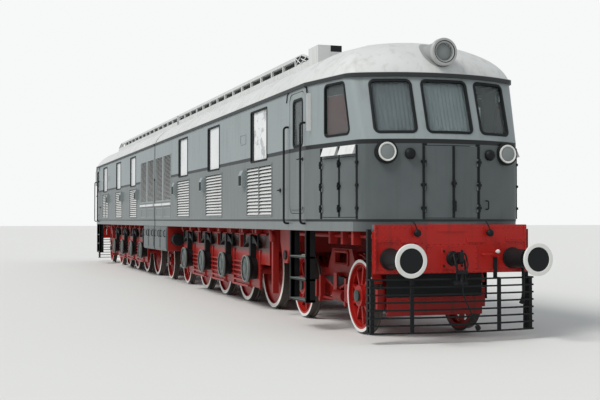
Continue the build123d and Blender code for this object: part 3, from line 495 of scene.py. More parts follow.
# %% Cloth
def cloth(name, colour, shade, weave=900.0, sheen=0.3):
    """Woven cloth: a fine grain of threads and soft uneven colour."""
    material, tree, shader, place = new_material(name, 0.85)
    shader.inputs["Sheen Weight"].default_value = sheen
    grain = noise(tree, place, weave, 2, (1, 1, 0.3))
    colour = mix(tree, noise(tree, place, 6.0, 3, (1, 6, 0.4)), colour, shade)
    tree.links.new(colour, shader.inputs["Base Color"])
    bump(tree, shader, grain, 0.25, 0.0006)
    return material


# %% [markdown]
# ## The paint shop's list
# Every finish of the locomotive has a plain name here, so a piece asks for its paint by what
# it is. A plain entry gives the colour, its faded shade, its dirt and how dirty it gets.

# %% The list of paints
paints = {
    "body": body_paint(),
    "roof": roof_paint(),
    "deck": deck_paint(),
    "red": plain_paint("frame_red_paint", RED, FADED_RED, GRIME, 2.0),
    "truck_red": plain_paint("truck_red_paint", FRAME_RED, FADED_RED, GRIME, 2.8),
    "black": plain_paint("iron_black_paint", BLACK, (0.016, 0.018, 0.019),
                         (0.024, 0.018, 0.014), 1.0, 0.5, 0.0, 0.18),
    "white": plain_paint("rim_white_paint", WHITE, (0.62, 0.62, 0.58), (0.25, 0.22, 0.18), 0.9),
    "grey": plain_paint("lower_grey_paint", LOWER_GREY, (0.13, 0.15, 0.158), (0.05, 0.055, 0.055),
                        1.0, SATIN),
    "light_grey": plain_paint("upper_grey_paint", UPPER_GREY, (0.33, 0.37, 0.385),
                              (0.16, 0.17, 0.17), 1.0, SATIN),
    "slat": plain_paint("slat_paint", (0.68, 0.69, 0.68), (0.78, 0.79, 0.78), (0.24, 0.22, 0.20),
                        1.4),
    "fin": plain_paint("radiator_fin_paint", (0.54, 0.55, 0.54), (0.64, 0.65, 0.64),
                       (0.05, 0.045, 0.04), 1.0),
    "rubber": plain_paint("window_rubber", (0.010, 0.012, 0.013), (0.022, 0.024, 0.025),
                          (0.035, 0.032, 0.030), 0.8, 0.6, 0.0, 0.18),
    "inside": plain_paint("inside_paint", (0.33, 0.36, 0.31), (0.40, 0.42, 0.37), GRIME, 0.5),
    "engine": plain_paint("engine_paint", (0.16, 0.18, 0.18), (0.22, 0.24, 0.24), GRIME, 1.0),
    "steel": plain_paint("bare_steel", (0.32, 0.31, 0.30), (0.42, 0.41, 0.40),
                         (0.12, 0.07, 0.04), 1.0, 0.35, 0.9),
    "drum": plain_paint("cover_green_paint", (0.045, 0.065, 0.060), (0.10, 0.12, 0.115),
                        GRIME, 1.2, 0.35),
    "glass": pane_glass("window_pane", (0.70, 0.77, 0.77), 0.92),
    "lens": pane_glass("lamp_lens", (0.30, 0.33, 0.325), 0.15, 0.15),
    "silver": plain_paint("lamp_silver", (0.40, 0.41, 0.40), (0.52, 0.53, 0.52), (0.12, 0.11, 0.10),
                          1.2, 0.35),
    "dull_rim": plain_paint("cover_rim_paint", (0.16, 0.19, 0.18), (0.34, 0.37, 0.35), GRIME, 1.4),
    "sky_reflection_paint": painted_sky_reflection(),
    "curtain": cloth("curtain_cloth", (0.54, 0.58, 0.60), (0.34, 0.38, 0.41)),
    "dark_curtain": cloth("dark_curtain_cloth", (0.27, 0.30, 0.33), (0.20, 0.22, 0.25)),
    "blind": cloth("blind_cloth", (0.21, 0.030, 0.022), (0.13, 0.020, 0.016), sheen=0.0),
    "leather": cloth("seat_leather", (0.05, 0.028, 0.018), (0.03, 0.018, 0.012), 260.0),
}

# %% [markdown]
# ## Paint the solids themselves
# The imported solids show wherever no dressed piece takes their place, so each gets a paint by
# its name. Wheelsets get one each, because a wheel's rings are measured from its own axle.

# %% Paint the frame's own pieces
NODE_PAINTS = {
    "underframe": "deck", "side_walls": "body", "cab_front": "body", "cab_sides": "body",
    "roof": "roof", "inner_fittings": "inside", "engine": "engine", "window_glass": "glass",
    "grilles": "body", "draw_gear": "black", "ironwork": "black", "lamps": "black",
    "drive_gear": "black", "bogie_frame": "truck_red", "pony_frame": "truck_red",
}
AXLES = {"bogie_wheels_1": (12.75, SMALL_WHEEL), "bogie_wheels_2": (10.25, SMALL_WHEEL),
         "pony_wheels": (1.05, SMALL_WHEEL),
         "driving_wheels_1": (8.5, DRIVING_WHEEL), "driving_wheels_2": (6.7, DRIVING_WHEEL),
         "driving_wheels_3": (4.9, DRIVING_WHEEL), "driving_wheels_4": (3.1, DRIVING_WHEEL)}
for wheels, (axle, radius) in AXLES.items():
    paints[wheels] = wheel_paint(wheels + "_paint", axle, radius)
for name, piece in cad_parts.items():
    plain = name.rsplit("_", 1)[0]
    piece.data.materials.clear()
    piece.data.materials.append(paints[plain if plain in AXLES else NODE_PAINTS.get(plain, "body")])
print("painted", len(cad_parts), "nodes with", len(paints), "materials")

# %% [markdown]
# ## Mesh helpers
# Nearly every trim piece is a chain of loops with the same number of points: a window's
# rubber, a turned ring, a bent tube. One helper bridges the loops, and a box is two of them.

# %% Loops and boxes
def add_loops(bm, loops, close=False, cap=False):
    """Bridges loops of points; close joins last to first, cap fills the two ends."""
    rows = [[bm.verts.new(point) for point in loop] for loop in loops]
    pairs = list(zip(rows, rows[1:])) + ([(rows[-1], rows[0])] if close else [])
    for first, second in pairs:
        for i in range(len(first)):
            j = (i + 1) % len(first)
            bm.faces.new((first[i], first[j], second[j], second[i]))
    if cap:
        bm.faces.new(rows[0][::-1])
        bm.faces.new(rows[-1])


def add_box(bm, x, y, z):
    """Box between three pairs."""
    add_loops(bm, [[(x[0], y[0], h), (x[1], y[0], h), (x[1], y[1], h), (x[0], y[1], h)]
                   for h in z], cap=True)


def side_span(side, near, far):
    """A pair across the width on one side, in rising order."""
    return sorted((side * near, side * far))


def around(middle, half):
    """A pair at equal distances from a place."""
    return middle - half, middle + half


# %% [markdown]
# ## Turned forms and rods
# Lamps, buffers and covers are turned on a lathe or spun, so a profile is swept round an axis.
# Rods and pipes are rings of points carried along a line, and bend rounds that line's corners
# with arcs, as a pipe bender does.

# %% Turned forms, rings of bolts and tubes
def frame_of(direction):
    """Two directions square to one."""
    direction = Vector(direction).normalized()
    side = direction.cross((0, 0, 1))
    if side.length < 0.01:
        side = direction.cross((1, 0, 0))
    side.normalize()
    return side, direction.cross(side)


def rod_profile(radius, length):
    """Profile of a plain round pin, for add_turned."""
    return [(0, 0), (0, radius), (length, radius), (length, 0)]


def add_turned(bm, centre, direction, profile, steps=32, close=False):
    """Turned form; profile is (place along the direction, radius)."""
    centre, direction = Vector(centre), Vector(direction).normalized()
    side, other = frame_of(direction)
    turns = [2 * math.pi * k / steps for k in range(steps)]
    add_loops(bm, [[centre + direction * along + (side * math.cos(t) + other * math.sin(t)) * r
                    for t in turns] for along, r in profile], close=close)


def add_ring(bm, centre, direction, radius, count, profile, steps=6, start=0.0):
    """The same turned form at even turns round an axis along X or Y."""
    centre, level = Vector(centre), Vector((0, 1, 0) if direction[0] else (1, 0, 0))
    for k in range(count):
        t = start + 2 * math.pi * k / count
        place = centre + (level * math.cos(t) + Vector((0, 0, 1)) * math.sin(t)) * radius
        add_turned(bm, place, direction, profile, steps)


def add_tube(bm, points, radius, steps=8):
    """Round rod through points, with its ends closed."""
    points = [Vector(point) for point in points]
    loops = []
    side = frame_of(points[1] - points[0])[0]
    for k, point in enumerate(points):
        before = points[k] - points[k - 1] if k else points[1] - points[0]
        after = points[k + 1] - points[k] if k + 1 < len(points) else before
        along = (before.normalized() + after.normalized()).normalized()
        side = (side - along * side.dot(along)).normalized()
        other = along.cross(side)
        loops.append([point + (side * math.cos(t) + other * math.sin(t)) * radius
                      for t in [2 * math.pi * n / steps for n in range(steps)]])
    add_loops(bm, loops, cap=True)


def bend(points, radius, steps=4):
    """Rounds the corners of a line of points."""
    points = [Vector(point) for point in points]
    line = [points[0]]
    for before, corner, after in zip(points, points[1:], points[2:]):
        into, out = (before - corner).normalized(), (after - corner).normalized()
        half = into.angle(out) / 2
        reach = radius / math.tan(half)
        centre = corner + (into + out).normalized() * (radius / math.sin(half))
        start, end = corner + into * reach - centre, corner + out * reach - centre
        line += [centre + start.lerp(end, k / steps).normalized() * radius
                 for k in range(steps + 1)]
    return line + [points[-1]]


# %% [markdown]
# ## Outlines with round corners
# Window rubbers, panes and door leaves are outlines with round corners, drawn flat in two
# coordinates. Growing an outline outwards or inwards gives the rubber's outer and inner edge
# from the same few corners.

# %% Rounded outlines
def round_outline(points, radius, grow=0.0, steps=4, split=6):
    """A convex outline, counter-clockwise, grown outwards, with its corners rounded.

    Each straight edge is split, so that it can follow a curved skin."""
    points = [Vector(point) for point in points]
    count = len(points)
    edges = []
    for k in range(count):
        run = (points[(k + 1) % count] - points[k]).normalized()
        edges.append((points[k] + Vector((run.y, -run.x)) * grow, run))
    corners = []
    for k in range(count):
        (a, d), (b, e) = edges[k - 1], edges[k]
        share = ((b.x - a.x) * e.y - (b.y - a.y) * e.x) / (d.x * e.y - d.y * e.x)
        corners.append(a + d * share)
    r = max(radius + grow, 0.002)
    line = []
    for k, corner in enumerate(corners):
        into = (corners[k - 1] - corner).normalized()
        out = (corners[(k + 1) % count] - corner).normalized()
        half = into.angle(out) / 2
        reach = r / math.tan(half)
        centre = corner + (into + out).normalized() * (r / math.sin(half))
        start, end = corner + into * reach - centre, corner + out * reach - centre
        line.append([centre + start.lerp(end, n / steps).normalized() * r
                     for n in range(steps + 1)])
    outline = []
    for k, arc in enumerate(line):
        after = line[(k + 1) % count][0]
        outline += arc + [arc[-1].lerp(after, n / split) for n in range(1, split)]
    return outline


def rectangle(u, v):
    """Corners of a rectangle, counter-clockwise."""
    return [(u[0], v[0]), (u[1], v[0]), (u[1], v[1]), (u[0], v[1])]


# %% [markdown]
# ## One finisher for every piece
# Two like halves need each fitting twice. The finisher merges doubled points, turns the faces
# outwards, makes the mesh for the leading half and one turned by half a circle for the other,
# and says which body each rides on, which coating it has and which solid it stands for.

# %% The finisher
made_pieces = {}


def finish_piece(name, bm, paint, body="half", replaces=(), bevel=0.0,
                 angle=35.0, closed=True):
    """Turns a bmesh into a piece on the leading half, and a copy of it on the other half."""
    bmesh.ops.remove_doubles(bm, verts=bm.verts, dist=1e-5)
    if closed:
        bmesh.ops.recalc_face_normals(bm, faces=bm.faces)
    pieces = []
    for half, turn in (("a", 0.0), ("b", math.pi)):
        mesh = bpy.data.meshes.new(name + "_" + half)
        bm.to_mesh(mesh)
        mesh.transform(Matrix.Rotation(turn, 4, "Z"))
        mesh.materials.append(paints[paint])
        mesh.shade_smooth()
        mesh.set_sharp_from_angle(angle=math.radians(angle))
        piece = bpy.data.objects.new(name + "_" + half, mesh)
        bpy.context.scene.collection.objects.link(piece)
        if bevel:
            edge = piece.modifiers.new("edge", "BEVEL")
            edge.width = bevel
            edge.segments = 1
            edge.limit_method = "ANGLE"
        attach(piece, body + "_" + half)
        for node in replaces:
            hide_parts(node + "_" + half)
        pieces.append(piece)
    made_pieces[name] = len(pieces[0].data.polygons)
    print("made", name, "with", made_pieces[name], "faces on", body)
    bm.free()
    return pieces


# %% [markdown]
# ## The cab's surfaces
# Trim on the cab follows its skin: a taper on each flank, and a nose that is an arc seen from
# above and leans back over the belt. One function for each part of the skin gives any point
# on it, a chosen distance out along its normal, so that a rubber or a strip can be drawn flat
# and laid on it.

# %% Points on the cab's skin
BODY_HALF = 1.445
WALL = 0.06
TAPER_START = 12.25
CORNER = 13.60
NOSE = 13.97
TAPER = 0.285 / 1.35
LEAN = 0.28 / 0.84


def nose_skin(y, z, out=0.0):
    """A point on the bowed nose."""
    lean = max(0.0, LEAN * (z - BELT_HIGH))
    half = BODY_HALF - (CORNER - lean - TAPER_START) * TAPER
    rise = NOSE - CORNER
    bow = (half * half + rise * rise) / (2 * rise)
    x = NOSE - lean - bow + math.sqrt(bow * bow - y * y)
    normal = Vector((math.sqrt(1 - (y / bow) ** 2), y / bow, LEAN if lean else 0.0)).normalized()
    return Vector((x, y, z)) + normal * out


def flank_skin(side):
    """A function that gives points on one tapered flank."""
    normal = Vector((TAPER, 1, 0)).normalized()

    def skin(x, z, out=0.0):
        point = Vector((x, BODY_HALF - (x - TAPER_START) * TAPER, z)) + normal * out
        return Vector((point.x, side * point.y, point.z))
    return skin


def wall_skin(side):
    """A function that gives points on one straight side wall."""
    def skin(x, z, out=0.0):
        return Vector((x, side * (BODY_HALF + out), z))
    return skin


# %% [markdown]
# ## Rubbers and strips
# A rubber is a rounded bead between an outer and an inner outline, and a strip is a flat bar.
# Both take the skin as a function, so the same two helpers serve walls, flanks and nose.

# %% Rubbers and strips
def add_rubber(bm, skin, corners, radius, wide, proud, back, lap=0.5, steps=4):
    """Frame round an opening: wide over all, proud of the skin, reaching back to the glass."""
    outer = round_outline(corners, radius, wide * (1 - lap), steps)
    inner = round_outline(corners, radius, -wide * lap, steps)
    section = [(outer, -0.002), (outer, proud * 0.6), (None, proud), (inner, proud * 0.6),
               (inner, back)]
    loops = []
    for line, out in section:
        if line is None:
            line = [(a + b) / 2 for a, b in zip(outer, inner)]
        loops.append([skin(u, v, out) for u, v in line])
    add_loops(bm, loops, close=True)


def add_strip(bm, skin, u, v, thick, sink=0.002):
    """Flat bar on a skin, between the pairs u and v."""
    add_loops(bm, [[skin(u[0], h, -sink), skin(u[1], h, -sink), skin(u[1], h, thick),
                    skin(u[0], h, thick)] for h in v], cap=True)


# %% [markdown]
# ## Windows
# Each windscreen sits in a thick black rubber with round corners. The engine room's windows
# have a thin dark frame and a pane painted with the sky's reflection, and a broad dark strip at
# the rear end of each is painted shade in the reveal.

# %% Window rubbers and panes
SCREEN_Z = heights(2.69, 3.39)
SCREENS = ((-0.97, -0.465), (-0.32, 0.32), (0.465, 0.97))
PANE_CORNER = 0.06
SIDE_WINDOW = [(12.765, SCREEN_Z[0]), (13.385, SCREEN_Z[0]), (13.24, SCREEN_Z[1]),
               (12.765, SCREEN_Z[1])]
ROOM_WINDOWS = (9.80, 6.55, 3.60)
ROOM_HALF = 0.485
ROOM_Z = heights(2.52, 3.35)
ROOM_REVEAL = 0.11

bm = bmesh.new()
for screen in SCREENS:
    add_rubber(bm, nose_skin, rectangle(screen, SCREEN_Z), PANE_CORNER, 0.034, 0.013, -0.024)
for side in (-1, 1):
    add_rubber(bm, flank_skin(side), SIDE_WINDOW, PANE_CORNER, 0.032, 0.012, -0.024)
finish_piece("window_rubbers", bm, "rubber")

bm = bmesh.new()
for side in (-1, 1):
    skin = wall_skin(side)
    for x in ROOM_WINDOWS:
        add_rubber(bm, skin, rectangle(around(x, ROOM_HALF), ROOM_Z), 0.012, 0.03, 0.012, -0.027,
                   0.45, 2)
        # The broad dark strip at the rear end is painted shade in the window's reveal.
        add_strip(bm, skin, (x - ROOM_HALF, x - ROOM_HALF + ROOM_REVEAL), ROOM_Z, -0.006, 0.026)
finish_piece("room_window_frames_and_reveal_shade", bm, "rubber")

bm = bmesh.new()
for side in (-1, 1):
    for x in ROOM_WINDOWS:
        add_strip(bm, wall_skin(side), (x - ROOM_HALF + ROOM_REVEAL, x + ROOM_HALF - 0.01),
                  (ROOM_Z[0] + 0.01, ROOM_Z[1] - 0.01), -0.0215, 0.027)
# The engine room's panes carry the painted reflection of the sky.
finish_piece("room_window_panes", bm, "sky_reflection_paint")

# %% [markdown]
# ## Slats grown with Geometry Nodes
# A louvre is one slat repeated up its height. A node tree makes the row from named inputs: how
# many, how far apart, how long, deep and thick, and how far they tilt. The result is turned
# into a plain mesh, so every louvre and radiator shares one small tree.

# %% How to build and run a tree
def new_tree(name, inputs):
    """An empty Geometry Nodes tree with named inputs, and its two end nodes."""
    tree = bpy.data.node_groups.new(name, "GeometryNodeTree")
    tree.interface.new_socket("Geometry", in_out="INPUT", socket_type="NodeSocketGeometry")
    tree.interface.new_socket("Geometry", in_out="OUTPUT", socket_type="NodeSocketGeometry")
    for title, kind in inputs:
        tree.interface.new_socket(title, in_out="INPUT", socket_type="NodeSocket" + kind)
    return tree, tree.nodes.new("NodeGroupInput"), tree.nodes.new("NodeGroupOutput")


def connect(tree, pairs):
    """Links pairs of sockets."""
    for source, target in pairs:
        tree.links.new(source, target)


def close_tree(tree, geometry, group, output):
    """Ends a tree in Realize Instances and Set Material."""
    real = tree.nodes.new("GeometryNodeRealizeInstances")
    paint = tree.nodes.new("GeometryNodeSetMaterial")
    connect(tree, ((geometry, real.inputs[0]), (real.outputs[0], paint.inputs["Geometry"]),
                   (group.outputs["Material"], paint.inputs["Material"]),
                   (paint.outputs[0], output.inputs[0])))


def grow(tree, seed, values):
    """Runs a tree on a seed mesh and returns the plain mesh that it makes."""
    holder = bpy.data.objects.new("grower", seed)
    bpy.context.scene.collection.objects.link(holder)
    modifier = holder.modifiers.new("grow", "NODES")
    modifier.node_group = tree
    for item in tree.interface.items_tree:
        if item.item_type == "SOCKET" and item.in_out == "INPUT" and item.name in values:
            modifier[item.identifier] = values[item.name]
    graph = bpy.context.evaluated_depsgraph_get()
    result = bpy.data.meshes.new_from_object(holder.evaluated_get(graph), depsgraph=graph)
    holder.modifiers.clear()
    bpy.data.objects.remove(holder)
    return result


# %% [markdown]
# ## The slats' own tree
# The row is a line of points going up, with one box on each of them, turned by the tilt. All
# sizes come in by name, so that the same tree serves wide slats and narrow fins.

# %% The slat tree
slat_tree, group, output = new_tree("slat_row", (("Count", "Int"), ("Pitch", "Float"),
                                    ("Length", "Float"), ("Depth", "Float"), ("Thick", "Float"),
                                    ("Tilt", "Float"), ("Material", "Material")))
offset = slat_tree.nodes.new("ShaderNodeCombineXYZ")
line = slat_tree.nodes.new("GeometryNodeMeshLine")
size = slat_tree.nodes.new("ShaderNodeCombineXYZ")
slat = slat_tree.nodes.new("GeometryNodeMeshCube")
turn = slat_tree.nodes.new("ShaderNodeCombineXYZ")
place = slat_tree.nodes.new("GeometryNodeInstanceOnPoints")
connect(slat_tree, (
    (group.outputs["Pitch"], offset.inputs["Z"]),
    (group.outputs["Count"], line.inputs["Count"]),
    (offset.outputs[0], line.inputs["Offset"]),
    (group.outputs["Length"], size.inputs["X"]),
    (group.outputs["Depth"], size.inputs["Y"]),
    (group.outputs["Thick"], size.inputs["Z"]),
    (size.outputs[0], slat.inputs["Size"]),
    (group.outputs["Tilt"], turn.inputs["X"]),
    (line.outputs[0], place.inputs["Points"]),
    (slat.outputs["Mesh"], place.inputs["Instance"]),
    (turn.outputs[0], place.inputs["Rotation"]),
))
close_tree(slat_tree, place.outputs[0], group, output)


def add_slats(bm, x, y, z, count, depth, thick, tilt, paint):
    """A row of level slats between the pairs x and z, at a place across the width."""
    pitch = (z[1] - z[0]) / count
    made = grow(slat_tree, bpy.data.meshes.new("seed"), {
        "Count": count, "Pitch": pitch, "Length": x[1] - x[0], "Depth": depth, "Thick": thick,
        "Tilt": tilt, "Material": paints[paint]})
    made.transform(Matrix.Translation(((x[0] + x[1]) / 2, y, z[0] + pitch / 2)))
    bm.from_mesh(made)


print("slat tree nodes", len(slat_tree.nodes))

# %% [markdown]
# ## Louvres and radiators
# A louvre is a pressed frame with tilted slats before a dark opening. The slats could be cut
# into the wall, but a rim, a row of slats and a dark plate of painted shade behind them read
# the same from outside and stay light. The radiators are the same, with more and narrower fins.

# %% Louvres and radiators
LOUVRE_Z = heights(1.60, 2.45)
LOUVRES = ((9.80, 0.77), (6.55, 0.70), (3.60, 0.675))
RIM = 0.03
RADIATOR_Z = heights(2.00, 3.12)
RADIATORS = ((0.13, 1.12), (1.20, 2.19))
BACK_PLATE = -0.046


def inside_rim(pair):
    """What is left between two rims."""
    return pair[0] + RIM, pair[1] - RIM


frames, slats, dark, fins, pale = [bmesh.new() for _ in range(5)]
for side in (-1, 1):
    skin = wall_skin(side)
    for x, half in LOUVRES:
        ends = around(x, half)
        add_rubber(frames, skin, rectangle(ends, LOUVRE_Z), 0.004, RIM, 0.010, -0.045, 0.9, 1)
        add_slats(slats, inside_rim(ends), side * (BODY_HALF - 0.018), inside_rim(LOUVRE_Z), 14,
                  0.058, 0.004, -side * 0.85, "slat")
        # The near-black plate behind the slats is painted shade, for the dark inside of the
        # opening.
        add_strip(dark, skin, ends, LOUVRE_Z, BACK_PLATE, 0.049)
    add_strip(frames, skin, around(LOUVRES[0][0], 0.015), inside_rim(LOUVRE_Z), 0.006, 0.03)
    for ends in RADIATORS:
        add_rubber(pale, skin, rectangle(ends, RADIATOR_Z), 0.004, RIM, 0.012, -0.045, 0.9, 1)
        add_slats(fins, inside_rim(ends), side * (BODY_HALF - 0.014), inside_rim(RADIATOR_Z), 34,
                  0.036, 0.004, -side * 0.5, "fin")
        # The near-black plate behind the fins is painted shade, as behind the slats.
        add_strip(dark, skin, ends, RADIATOR_Z, BACK_PLATE, 0.049)
    add_strip(pale, skin, (RADIATORS[0][1], RADIATORS[1][0]), RADIATOR_Z, 0.010)
finish_piece("grille_frames", frames, "body", replaces=("grilles",))
finish_piece("louvre_slats", slats, "slat", replaces=("grilles",))
finish_piece("radiator_fins", fins, "fin", replaces=("grilles",))
finish_piece("radiator_frames", pale, "light_grey", replaces=("grilles",))
finish_piece("grille_shade_plates", dark, "rubber", replaces=("grilles",))

# %% [markdown]
# ## Small fittings along the side
# A vent box hangs beside each louvre, and a thin dark plate on its face is painted shade. A
# blank plate in a thin frame sits by the first window, and ledges run under the radiators. A
# thin upright vane stands ahead of the cab door. They are simple pressed shapes, so boxes with
# a small bevel and sloping tops are enough.

# %% Vent boxes, plates and ledges
VENT_BEHIND = 0.235
VANE = 12.39
vents, vent_shades, ledges = bmesh.new(), bmesh.new(), bmesh.new()
for side in (-1, 1):
    skin = wall_skin(side)
    for x, half in LOUVRES:
        start = x - half - VENT_BEHIND
        y = [skin(start, 0, out).y for out in (-0.002, 0.085, 0.055)]
        shape = [(y[0], 2.12), (y[1], 2.12), (y[1], 2.33), (y[2], 2.40), (y[0], 2.40)]
        add_loops(vents, [[(place, a, b + RAIL) for a, b in shape]
                          for place in (start, start + 0.20)], cap=True)
        # A thin dark plate on the vent's face is painted shade.
        add_box(vent_shades, (start + 0.02, start + 0.18), sorted((y[1], y[1] + side * 0.004)),
                heights(2.14, 2.31))
    add_rubber(vents, skin, rectangle((8.62, 8.98), heights(2.86, 3.02)), 0.006, 0.014,
               0.010, -0.001, 0.5, 2)
    for ledge in RADIATORS:
        add_strip(ledges, skin, ledge, heights(1.90, 1.955), 0.035)
        add_rubber(vents, skin, rectangle((ledge[0] + 0.08, ledge[1] - 0.08),
                   heights(1.62, 1.84)), 0.01, 0.02, 0.010, -0.001, 0.5, 2)
    add_box(ledges, around(VANE, 0.006), side_span(side, 1.405, 1.475), heights(2.80, 3.33))
finish_piece("side_ledges", ledges, "slat", bevel=0.002)
finish_piece("side_fittings", vents, "light_grey", bevel=0.003)
finish_piece("vent_shade_plates", vent_shades, "rubber")

# %% [markdown]
# ## Rain arch, lever and steps
# A bent rod over the cab door throws the rain off. Below the door two upright bars carry three
# treads. They are plain rods and flats, so tubes and boxes do.

# %% Rain arch, lever and steps
LEVER = (11.02, 2.0 + RAIL)
STEP_BARS = (11.47, 12.19)
TREADS = (0.38, 0.68, 1.00)
bm = bmesh.new()
for side in (-1, 1):
    skin = wall_skin(side)
    add_tube(bm, [skin(*LEVER, -0.001), skin(*LEVER, 0.05), skin(11.20, 2.01 + RAIL, 0.055)], 0.010)
    add_turned(bm, skin(*LEVER), (0, side, 0),
               [(-0.001, 0), (-0.001, 0.035), (0.010, 0.032), (0.012, 0)], 16)
    arch = [(11.36, 3.30 + RAIL), (11.40, 3.415 + RAIL), (11.50, 3.452 + RAIL),
            (12.19, 3.452 + RAIL), (12.30, 3.415 + RAIL), (12.33, 3.32 + RAIL)]
    add_tube(bm, [skin(x, z, 0.004) for x, z in arch], 0.011, 6)
    for x in STEP_BARS:
        add_box(bm, (x, x + 0.03), side_span(side, 1.29, 1.436), heights(0.372, 1.399))
finish_piece("side_ironwork", bm, "black")
bm = bmesh.new()
for side in (-1, 1):
    for z in TREADS:
        add_box(bm, (STEP_BARS[0], STEP_BARS[1] + 0.03), side_span(side, 1.288, 1.4365),
                heights(z + 0.024, z + 0.029))
finish_piece("step_treads", bm, "dull_rim")

# %% [markdown]
# ## Cab doors
# The door is a steel leaf with a tall rounded window held by a black rubber. It swings inwards
# on its rear edge, so leaf, rubber, pane and handle all ride on the door's own body.

# %% Door leaves, panes and handles
DOOR_X = (11.498, 12.192)
DOOR_Z = heights(1.648, 3.392)
DOOR_PANE = rectangle((11.66, 12.10), heights(2.62, 3.29))
DOOR_CORNER = 0.135
DOOR_HINGES = (1.80, 2.52, 3.20)
HANDLE = (12.10, 2.42 + RAIL)
SIDES = ((-1, "right"), (1, "left"))
for side, word in SIDES:
    skin = wall_skin(side)
    leaf, rubber, pane, metal = [bmesh.new() for _ in range(4)]
    outer = round_outline(rectangle(DOOR_X, DOOR_Z), DOOR_CORNER)
    inner = round_outline(DOOR_PANE, PANE_CORNER)
    add_loops(leaf, [[skin(u, v, out) for u, v in line] for line, out in
                     ((outer, -0.045), (outer, -0.008), (outer, -0.005), (inner, -0.005),
                      (inner, -0.045))], close=True)
    add_strip(leaf, skin, (11.58, 12.12), heights(1.70, 1.735), 0.012, 0.006)
    for z in DOOR_HINGES:
        add_turned(leaf, (DOOR_X[0], side * 1.400, z + RAIL), (0, 0, 1),
                   rod_profile(0.016, 0.05), 12)
    add_rubber(rubber, lambda u, v, out: skin(u, v, out - 0.005), DOOR_PANE, PANE_CORNER, 0.04,
               0.010, -0.016)
    panel = round_outline(DOOR_PANE, PANE_CORNER, -0.004)
    add_loops(pane, [[skin(u, v, out) for u, v in panel] for out in (-0.031, -0.019)], cap=True)
    add_turned(metal, skin(*HANDLE, -0.006), (0, side, 0),
               [(0, 0), (0, 0.03), (0.006, 0.028), (0.008, 0.012), (0.045, 0.012), (0.045, 0)], 14)
    add_tube(metal, bend([skin(*HANDLE, 0.03), skin(*HANDLE, 0.045), skin(11.98, HANDLE[1], 0.045)],
                         0.012, 3), 0.009)
    door, node = "cab_door_" + word, ("cab_door_" + word,)
    finish_piece(door + "_leaf", leaf, "body", door, replaces=node)
    finish_piece(door + "_rubber", rubber, "rubber", door, node)
    finish_piece(door + "_pane", pane, "glass", door, node)
    finish_piece(door + "_handle", metal, "black", door, node)

# %% [markdown]
# ## Strips and hinges of the nose and cabinet doors
# Black cover strips run up the edges of each opening and down its middle. Each carries three
# hinge blocks, except the nose's middle strip, which carries one. Strips at the edges belong to
# the wall. The middle one is screwed to one leaf, so it swings with it.

# %% Nose strips
STRIP = 0.013
LEAF_STRIP = 0.0115
NOSE_Z = heights(1.563, 2.515)
HINGE_Z = (1.70, 2.0, 2.30)
NOSE_EDGE = 0.396


def hinge_span(height):
    """Lower and upper edge of a hinge block."""
    return heights(height - 0.012, height + 0.022)


def add_edge(bm, skin, u, z, hinge_z=HINGE_Z, wide=STRIP):
    """One cover strip with its hinge blocks."""
    add_strip(bm, skin, around(u, wide), z, 0.014)
    for height in hinge_z:
        add_strip(bm, skin, around(u, 0.034), hinge_span(height), 0.024)
        add_turned(bm, skin(u, height - 0.05 + RAIL, 0.026), (0, 0, 1),
                   rod_profile(0.013, 0.10), 10)


wall_strips, leaf_strips = bmesh.new(), bmesh.new()
for u in (-NOSE_EDGE, NOSE_EDGE):
    add_edge(wall_strips, nose_skin, u, NOSE_Z)
add_strip(wall_strips, nose_skin, (-0.411, 0.411), heights(2.520, 2.540), 0.012)
add_edge(leaf_strips, nose_skin, 0.0165, heights(1.582, 2.508), (2.02,), LEAF_STRIP)
add_strip(leaf_strips, nose_skin, (0.006, 0.040), heights(1.66, 1.80), 0.034)
grab = [nose_skin(0.52, z + RAIL, out) for z, out in ((1.80, -0.001), (1.80, 0.05), (1.69, 0.05),
                                                      (1.69, -0.001))]
add_tube(wall_strips, bend(grab, 0.018, 3), 0.009)
print("strips of the nose at", -NOSE_EDGE, "and", NOSE_EDGE)

# %% [markdown]
# ## Strips on the cab's flanks
# The two cabinet leaves of each flank carry the same strips, and a small sloping flap with a
# cheek at each end closes each compartment above. They are laid on the tapered skin.

# %% Cabinet strips and their flaps
cabinet_strips, flaps = {"right": bmesh.new(), "left": bmesh.new()}, bmesh.new()
CABINET_Z = heights(1.563, 2.53)
CABINET_EDGE, CABINET_MIDDLE = 12.674, 13.129
FLAP_Z = heights(2.415, 2.535)
for side, word in SIDES:
    skin = flank_skin(side)
    add_edge(wall_strips, skin, CABINET_EDGE, CABINET_Z)
    add_strip(wall_strips, skin, (13.533, 13.560), CABINET_Z, 0.010, 0.010)
    for height in HINGE_Z:
        add_strip(wall_strips, skin, (13.530, 13.575), hinge_span(height), 0.022, 0.012)
    add_edge(cabinet_strips[word], skin, CABINET_MIDDLE, heights(1.592, 2.378), wide=LEAF_STRIP)
    add_strip(wall_strips, skin, (13.118, 13.142), (2.395 + RAIL, CABINET_Z[1]), 0.012)
    for x in ((12.74, 13.09), (13.17, 13.53)):
        (low, high), thick = FLAP_Z, 0.008
        edge = [(low, 0.060), (high, 0.014), (high, 0.014 - thick), (low, 0.060 - thick)]
        add_loops(flaps, [[skin(u, z, out) for z, out in edge] for u in x], cap=True)
        for u in (x[0] + 0.006, x[1] - 0.006):
            cheek = [skin(u, low, 0.058), skin(u, low + 0.004, -0.001), skin(u, high, -0.001),
                     skin(u, high, 0.012)]
            across = skin(u + 0.004, low) - skin(u, low)
            add_loops(flaps, [cheek, [point + across for point in cheek]], cap=True)
finish_piece("door_strips", wall_strips, "black")
finish_piece("nose_door_strip", leaf_strips, "black", "nose_door_left")
for word, bm in cabinet_strips.items():
    finish_piece("cabinet_strip_" + word, bm, "black", "cabinet_" + word + "_2")
